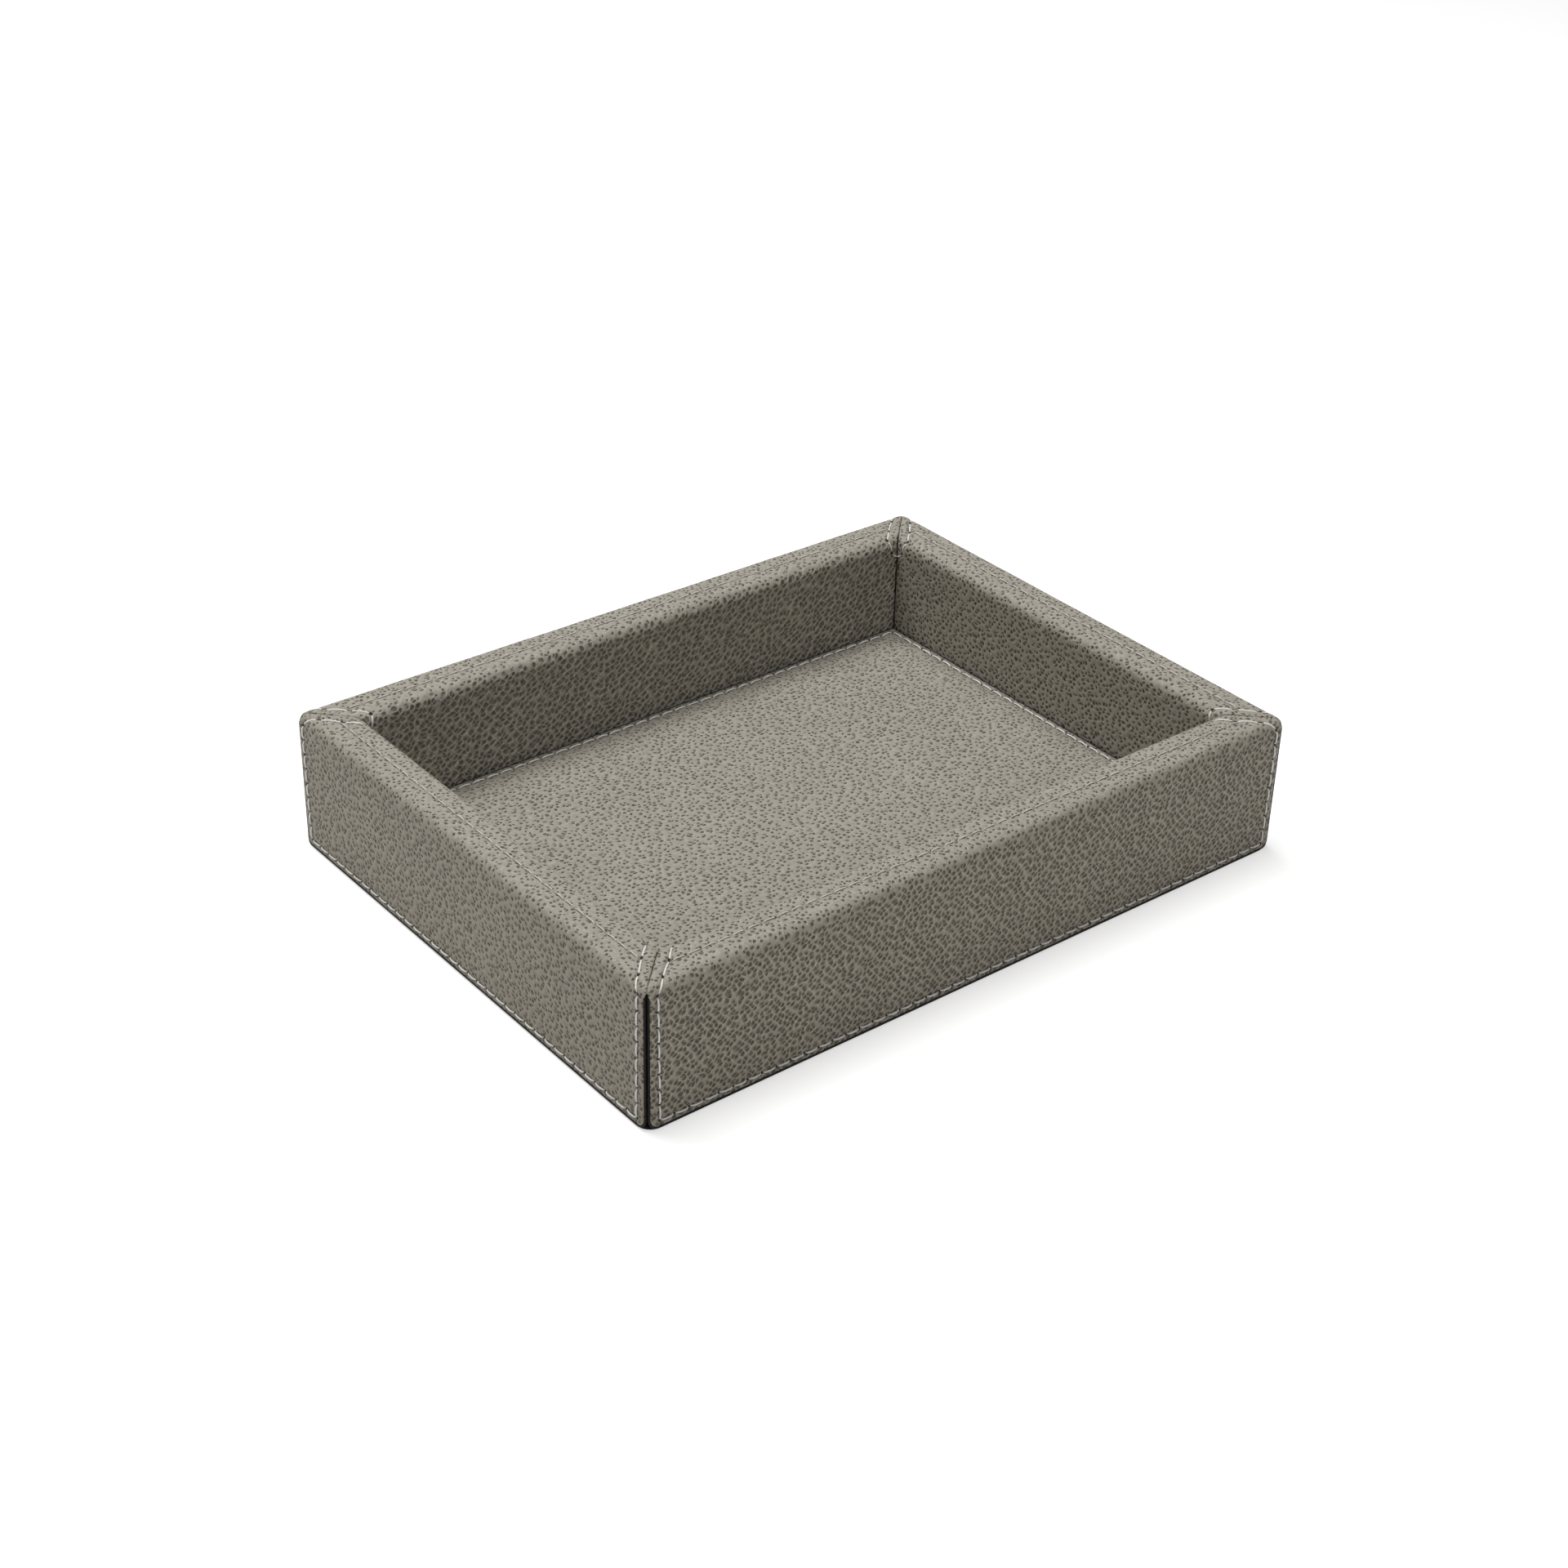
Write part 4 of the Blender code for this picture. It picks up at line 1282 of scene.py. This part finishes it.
def make_wrinkles(t):
    """Fine folds across the rolled edges, and arcs where the rim's seam draws the leather in."""
    flat = t.vectors("SCALE", t.attribute("plan", "Vector"), Scale=1000.0)
    cross = t.step(t.noise(t.scaled(flat, 1.25, 0.20, 1), 1.0), 0.40, 0.62)
    cross = t.times(cross, t.attribute("bend"))
    arcs = t.noise(t.scaled(t.wander(flat, 0.3, 2.0), 0.26, 0.95, 1), 1.0)
    arcs = t.step(t.maths("ABSOLUTE", t.maths("SUBTRACT", arcs, 0.5)), 0.0, 0.09, 1, 0)
    return t.maths("MAXIMUM", cross, t.times(arcs, t.attribute("drawn")))


def make_hole_shade(t):
    """An oval hole at each whole number along the sewing map, painted black as the shade inside it.
    """
    sewn = t.parts(t.add("UVMap", uv_map="sewing").outputs[0])
    share = t.maths("SUBTRACT", t.maths("FRACT", t.maths("ADD", sewn[0], 0.5)), 0.5)
    along, aside = t.times(share, STITCH_LENGTH / HOLE_LENGTH), t.times(sewn[1], 1 / HOLE_BREADTH)
    off = t.maths("ADD", t.times(along, along), t.times(aside, aside))
    return t.step(off, 0.65, 1.3, 1, 0)


def make_leather():
    t = Tree("grained_leather", 0.52, Specular_IOR_Level=0.2)
    mm = t.vectors("SCALE", t.attribute("hide", "Vector"), Scale=1000.0)
    slack, pressed = t.attribute("slack"), t.attribute("pressed")
    folded, scaly = t.step(slack, 0.45, 0.95), t.step(slack, 0.98, 1.08)
    spot, pits, walls = make_cells(t, mm, folded, scaly)
    pit, lip = make_pits(t, mm, pits, walls, slack, scaly)
    scale = make_scales(t, spot, pits, walls, slack)
    net = make_net(t, mm, spot, walls, folded, scaly)
    fold = make_wrinkles(t)
    grain = t.noise(mm, 3.2, 3, 0.6)
    mottle = t.noise(t.scaled(mm, 1.4, 0.75, 1), 0.75)

    height = t.times(pit, -1.15)
    for part, share in ((net, 0.50), (scale, 0.16), (fold, 0.20), (grain, 0.16)):
        height = t.times_plus(part, share, height)
    # Painted light and shade in the tone: pressed grooves painted darker, painted shade; each
    # cell's tilt and each pit's lip painted lighter on one side and darker on the other, painted
    # highlight and painted shade; the net of creases painted lighter, painted highlights; upright
    # faces painted a tenth darker, painted shade. The slow noise, grain and mottle are the hide's
    # own tone.
    tone = t.times_plus(t.noise(mm, 0.035, 3), 0.20, 0.40)
    for part, share in (
        (grain, 0.30), (mottle, 0.70), (t.maths("MINIMUM", pressed, 1.0), -0.34), (fold, 0.08),
        (scale, t.times_plus(lip, 0.95, 0.20)), (net, t.times_plus(scaly, -0.20, 0.44)),
        (folded, -0.10),
    ):
        tone = t.times_plus(part, share, tone)

    # Outer faces take the darker, browner copy of the leather colour: painted shade.
    colour = t.blend(t.attribute("tanned"), LEATHER_COLOUR, SHADED_FACE_COLOUR)
    # Pits are painted dark: partly their dye, partly painted shade.
    colour = t.blend(pit, colour, PIT_DYE_AND_SHADE_COLOUR)
    shade = t.add("CombineColor", {0: tone, 1: tone, 2: tone}).outputs[0]
    colour = t.blend(1.0, colour, shade, "MULTIPLY")
    # Black for the needle holes, the mitre and the floor's border is painted shade; where edge
    # paint laps over the face it is real black paint.
    black = t.maths("MAXIMUM", make_hole_shade(t), t.step(pressed, 1.3, 2.4))
    colour = t.blend(black, colour, HOLE_SHADE_AND_PAINT_COLOUR)
    roughness = t.times_plus(pit, 0.16, t.times_plus(grain, 0.10, 0.47))
    return t.finish(colour, height, 0.00050, roughness)


leather = make_leather()
print("leather has", len(leather.node_tree.nodes), "nodes")

# %% [markdown]
# Thread and paint
#
# Waxed thread shows its twist as fine slanted grooves, which a sine wave over the ply map draws
# in the bump and as painted shade, darker in each groove.
# The edge paint is black with a soft gloss, a little uneven where the brush ran dry.

# %% Make thread and paint


def make_thread(name, colour, dark, roughness):
    t = Tree(name, roughness, Specular_IOR_Level=0.5, Sheen_Weight=0.8)
    ply = t.add("UVMap", uv_map="ply").outputs[0]
    phase = t.times(t.vectors("DOT_PRODUCT", ply, (1.15, 2.0, 0)), math.pi)
    fibre = t.noise(t.scaled(ply, 3, 14, 1), 1.0, 3)
    groove = t.step(t.maths("ABSOLUTE", t.maths("SINE", phase)), 0.0, 0.45, 1, 0)
    # The twist's grooves are painted darker, painted shade; the fibre noise is the thread's own
    # unevenness.
    share = t.times_plus(groove, 0.20, t.times_plus(fibre, 0.20, -0.08))
    height = t.times_plus(groove, -0.6, t.times(fibre, 0.3))
    return t.finish(t.blend(share, colour, dark), height, 0.00006)


def make_paint():
    t = Tree("black_edge_paint", 0.50, Specular_IOR_Level=0.12)
    place = t.place()
    uneven, slow = t.noise(place, 900.0, 3), t.noise(place, 160.0)
    share = t.step(uneven, 0.45, 0.75)
    colour = t.blend(share, (0.007, 0.006, 0.0045, 1), (0.020, 0.017, 0.013, 1))
    height = t.times_plus(slow, 0.8, t.times(uneven, 0.4))
    return t.finish(colour, height, 0.00010, t.times_plus(slow, 0.30, 0.36))


contrast_thread = make_thread(
    "contrast_thread", (1.0, 0.99, 0.95, 1), (0.80, 0.77, 0.70, 1), 0.42)
tonal_thread = make_thread("tonal_thread", (0.78, 0.755, 0.68, 1), (0.44, 0.415, 0.35, 1), 0.50)
edge_paint = make_paint()

# %% [markdown]
# Suede, boards, foam and card
#
# These are hardly seen, but each still gets what its real counterpart has: fibres in the board
# and card, plies in the tongues, pores in the foam, and a napped, mottled black for the suede.

# %% Make the hidden materials


def make_suede():
    t = Tree("black_suede", 0.95, Specular_IOR_Level=0.2, Sheen_Weight=0.35)
    place = t.place()
    nap = t.noise(place, 2600.0, 4, 0.65)
    share = t.times_plus(nap, 0.7, t.times(t.noise(place, 70.0, 3), 0.4))
    colour = t.blend(share, (0.008, 0.007, 0.006, 1), (0.030, 0.027, 0.024, 1))
    return t.finish(colour, nap, 0.00012)


def make_board(name, dark, light, squeeze, scale):
    t = Tree(name, 0.85, Specular_IOR_Level=0.25)
    run = t.scaled(t.place(), 1, 1, squeeze)
    fibre = t.noise(run, scale, 5, 0.6)
    flakes = t.add("TexVoronoi", {"Vector": run, "Scale": scale * 0.8}).outputs["Distance"]
    share = t.times_plus(flakes, 0.4, t.times(fibre, 0.7))
    return t.finish(t.blend(share, dark, light), fibre, 0.00008)


def make_plywood():
    t = Tree("bare_plywood", 0.75, Specular_IOR_Level=0.3)
    place = t.place()
    ply = t.add("TexWave", {"Vector": place, "Scale": 160.0, "Distortion": 0.6, "Detail": 2.0},
                bands_direction="Z").outputs["Fac"]
    grain = t.noise(t.scaled(place, 1, 1, 0.1), 1200.0, 3)
    share = t.times_plus(ply, 0.5, t.times(grain, 0.5))
    return t.finish(t.blend(share, (0.24, 0.15, 0.08, 1), (0.50, 0.36, 0.21, 1)), grain, 0.00005)


def make_foam_finish():
    t = Tree("soft_foam", 0.9, Specular_IOR_Level=0.2)
    pores = t.add("TexVoronoi", {"Vector": t.place(), "Scale": 1500.0}).outputs["Distance"]
    # The pores are painted darker: painted shade inside them.
    colour = t.blend(t.step(pores, 0.1, 0.5), (0.42, 0.40, 0.33, 1), (0.76, 0.74, 0.66, 1))
    return t.finish(colour, pores, 0.0002)


base_suede = make_suede()
fibreboard = make_board(
    "bare_fibreboard", (0.20, 0.13, 0.07, 1), (0.46, 0.33, 0.20, 1), 1, 1400.0)
greyboard = make_board(
    "bare_greyboard", (0.20, 0.19, 0.175, 1), (0.38, 0.37, 0.345, 1), 3, 1800.0)
plywood = make_plywood()
foam = make_foam_finish()

# %% [markdown]
# Hand the pieces over to the frame
#
# Each piece gets its finish, rides on the tray's one body, and takes the place of its part in
# the model. Boards, tongues and card stay as they are and only get their materials.

# %% Finish, ride and replace
FINISHES = {
    "outer_cover": (leather, "leather"),
    "inner_cover": (leather, "leather"),
    "painted_edge": (edge_paint, "edge_paint"),
    "seam_thread": (contrast_thread, "thread"),
    "rim_thread": (tonal_thread, "rim_thread"),
}
KEPT = {
    "board": (fibreboard, "fibreboard"),
    "base_board": (fibreboard, "fibreboard"),
    "corner_tongue": (plywood, "plywood"),
    "pad_card": (greyboard, "greyboard"),
}


def give_finish(piece, material, slot):
    piece.data.materials.clear()
    piece.data.materials.append(material)


def hand_over(piece, material, slot, node):
    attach(piece, "root")
    give_finish(piece, material, slot)
    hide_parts(node)


for wall, pieces in dressed.items():
    for part, piece in pieces.items():
        hand_over(piece, *FINISHES[part], part + "_" + wall)
hand_over(floor_leather, leather, "leather", "pad_leather")
hand_over(floor_foam, foam, "foam", "pad_foam")
hand_over(floor_stitches, contrast_thread, "thread", "pad_thread")
hand_over(base_sheet, base_suede, "base_suede", "base_cover")

for start, finish in KEPT.items():
    for name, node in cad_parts.items():
        if name.startswith(start):
            give_finish(node, *finish)
print("kept from the model:", ", ".join(KEPT))

# %% [markdown]
# The studio
#
# The tray stands on a plain white table. Most light comes from overhead and a little behind, with
# a weak lamp from the left and another from the front. The table is white for the camera and
# keeps the tray's shadow. Light levels are plain: a colour in the open renders about as it is
# written.

# %% Table, background and lamps
WORLD_LIGHT, TABLE_GLOW = 0.03, 0.55
WHITE = (1, 1, 1, 1)
LAMPS = {
    "overhead": ((-0.1, 0.5, 1.7), 1.2, 26.0),
    "left_high": ((-1.5, 0.0, 1.0), 0.7, 1.4),
    "front_high": ((-0.3, -1.4, 1.1), 0.7, 5.6),
}


def camera_share(nodes, links):
    """1 for what the camera sees directly, in a mirror or through glass."""
    path = nodes.new("ShaderNodeLightPath")
    share = path.outputs["Is Camera Ray"]
    for name in ("Is Glossy Ray", "Is Transmission Ray"):
        most = nodes.new("ShaderNodeMath")
        most.operation = "MAXIMUM"
        links.new(share, most.inputs[0])
        links.new(path.outputs[name], most.inputs[1])
        share = most.outputs[0]
    return share


def make_world():
    world = bpy.data.worlds.new("studio")
    bpy.context.scene.world = world
    world.use_nodes = True
    nodes, links = world.node_tree.nodes, world.node_tree.links
    mix = nodes.new("ShaderNodeMixShader")
    links.new(camera_share(nodes, links), mix.inputs[0])
    lights = (nodes["Background"], WORLD_LIGHT), (nodes.new("ShaderNodeBackground"), 1.0)
    for place, (light, strength) in enumerate(lights, 1):
        light.inputs["Color"].default_value = WHITE
        light.inputs["Strength"].default_value = strength
        links.new(light.outputs[0], mix.inputs[place])
    links.new(mix.outputs[0], nodes["World Output"].inputs["Surface"])


def make_table():
    table = new_plane("table", 12, 12)
    mode("OBJECT")
    t = Tree("white_table", 0.9, Specular_IOR_Level=0.0)
    t.shader.inputs["Base Color"].default_value = (0.9, 0.9, 0.9, 1)
    t.shader.inputs["Emission Color"].default_value = WHITE
    glow = t.times(camera_share(t.nodes, t.links), TABLE_GLOW)
    t.links.new(glow, t.shader.inputs["Emission Strength"])
    table.data.materials.append(t.material)


def make_lamp(name, place, size, power):
    data = bpy.data.lights.new(name, "AREA")
    data.shape, data.size, data.energy = "SQUARE", size, power
    lamp = bpy.data.objects.new(name, data)
    bpy.context.scene.collection.objects.link(lamp)
    lamp.location = place
    lamp.rotation_euler = (Vector((0, 0, 0.02)) - Vector(place)).to_track_quat("-Z", "Y").to_euler()


make_world()
make_table()
for name, lamp in LAMPS.items():
    make_lamp(name, *lamp)
bpy.context.scene.view_settings.view_transform = "Standard"
print("lamps:", ", ".join(LAMPS))
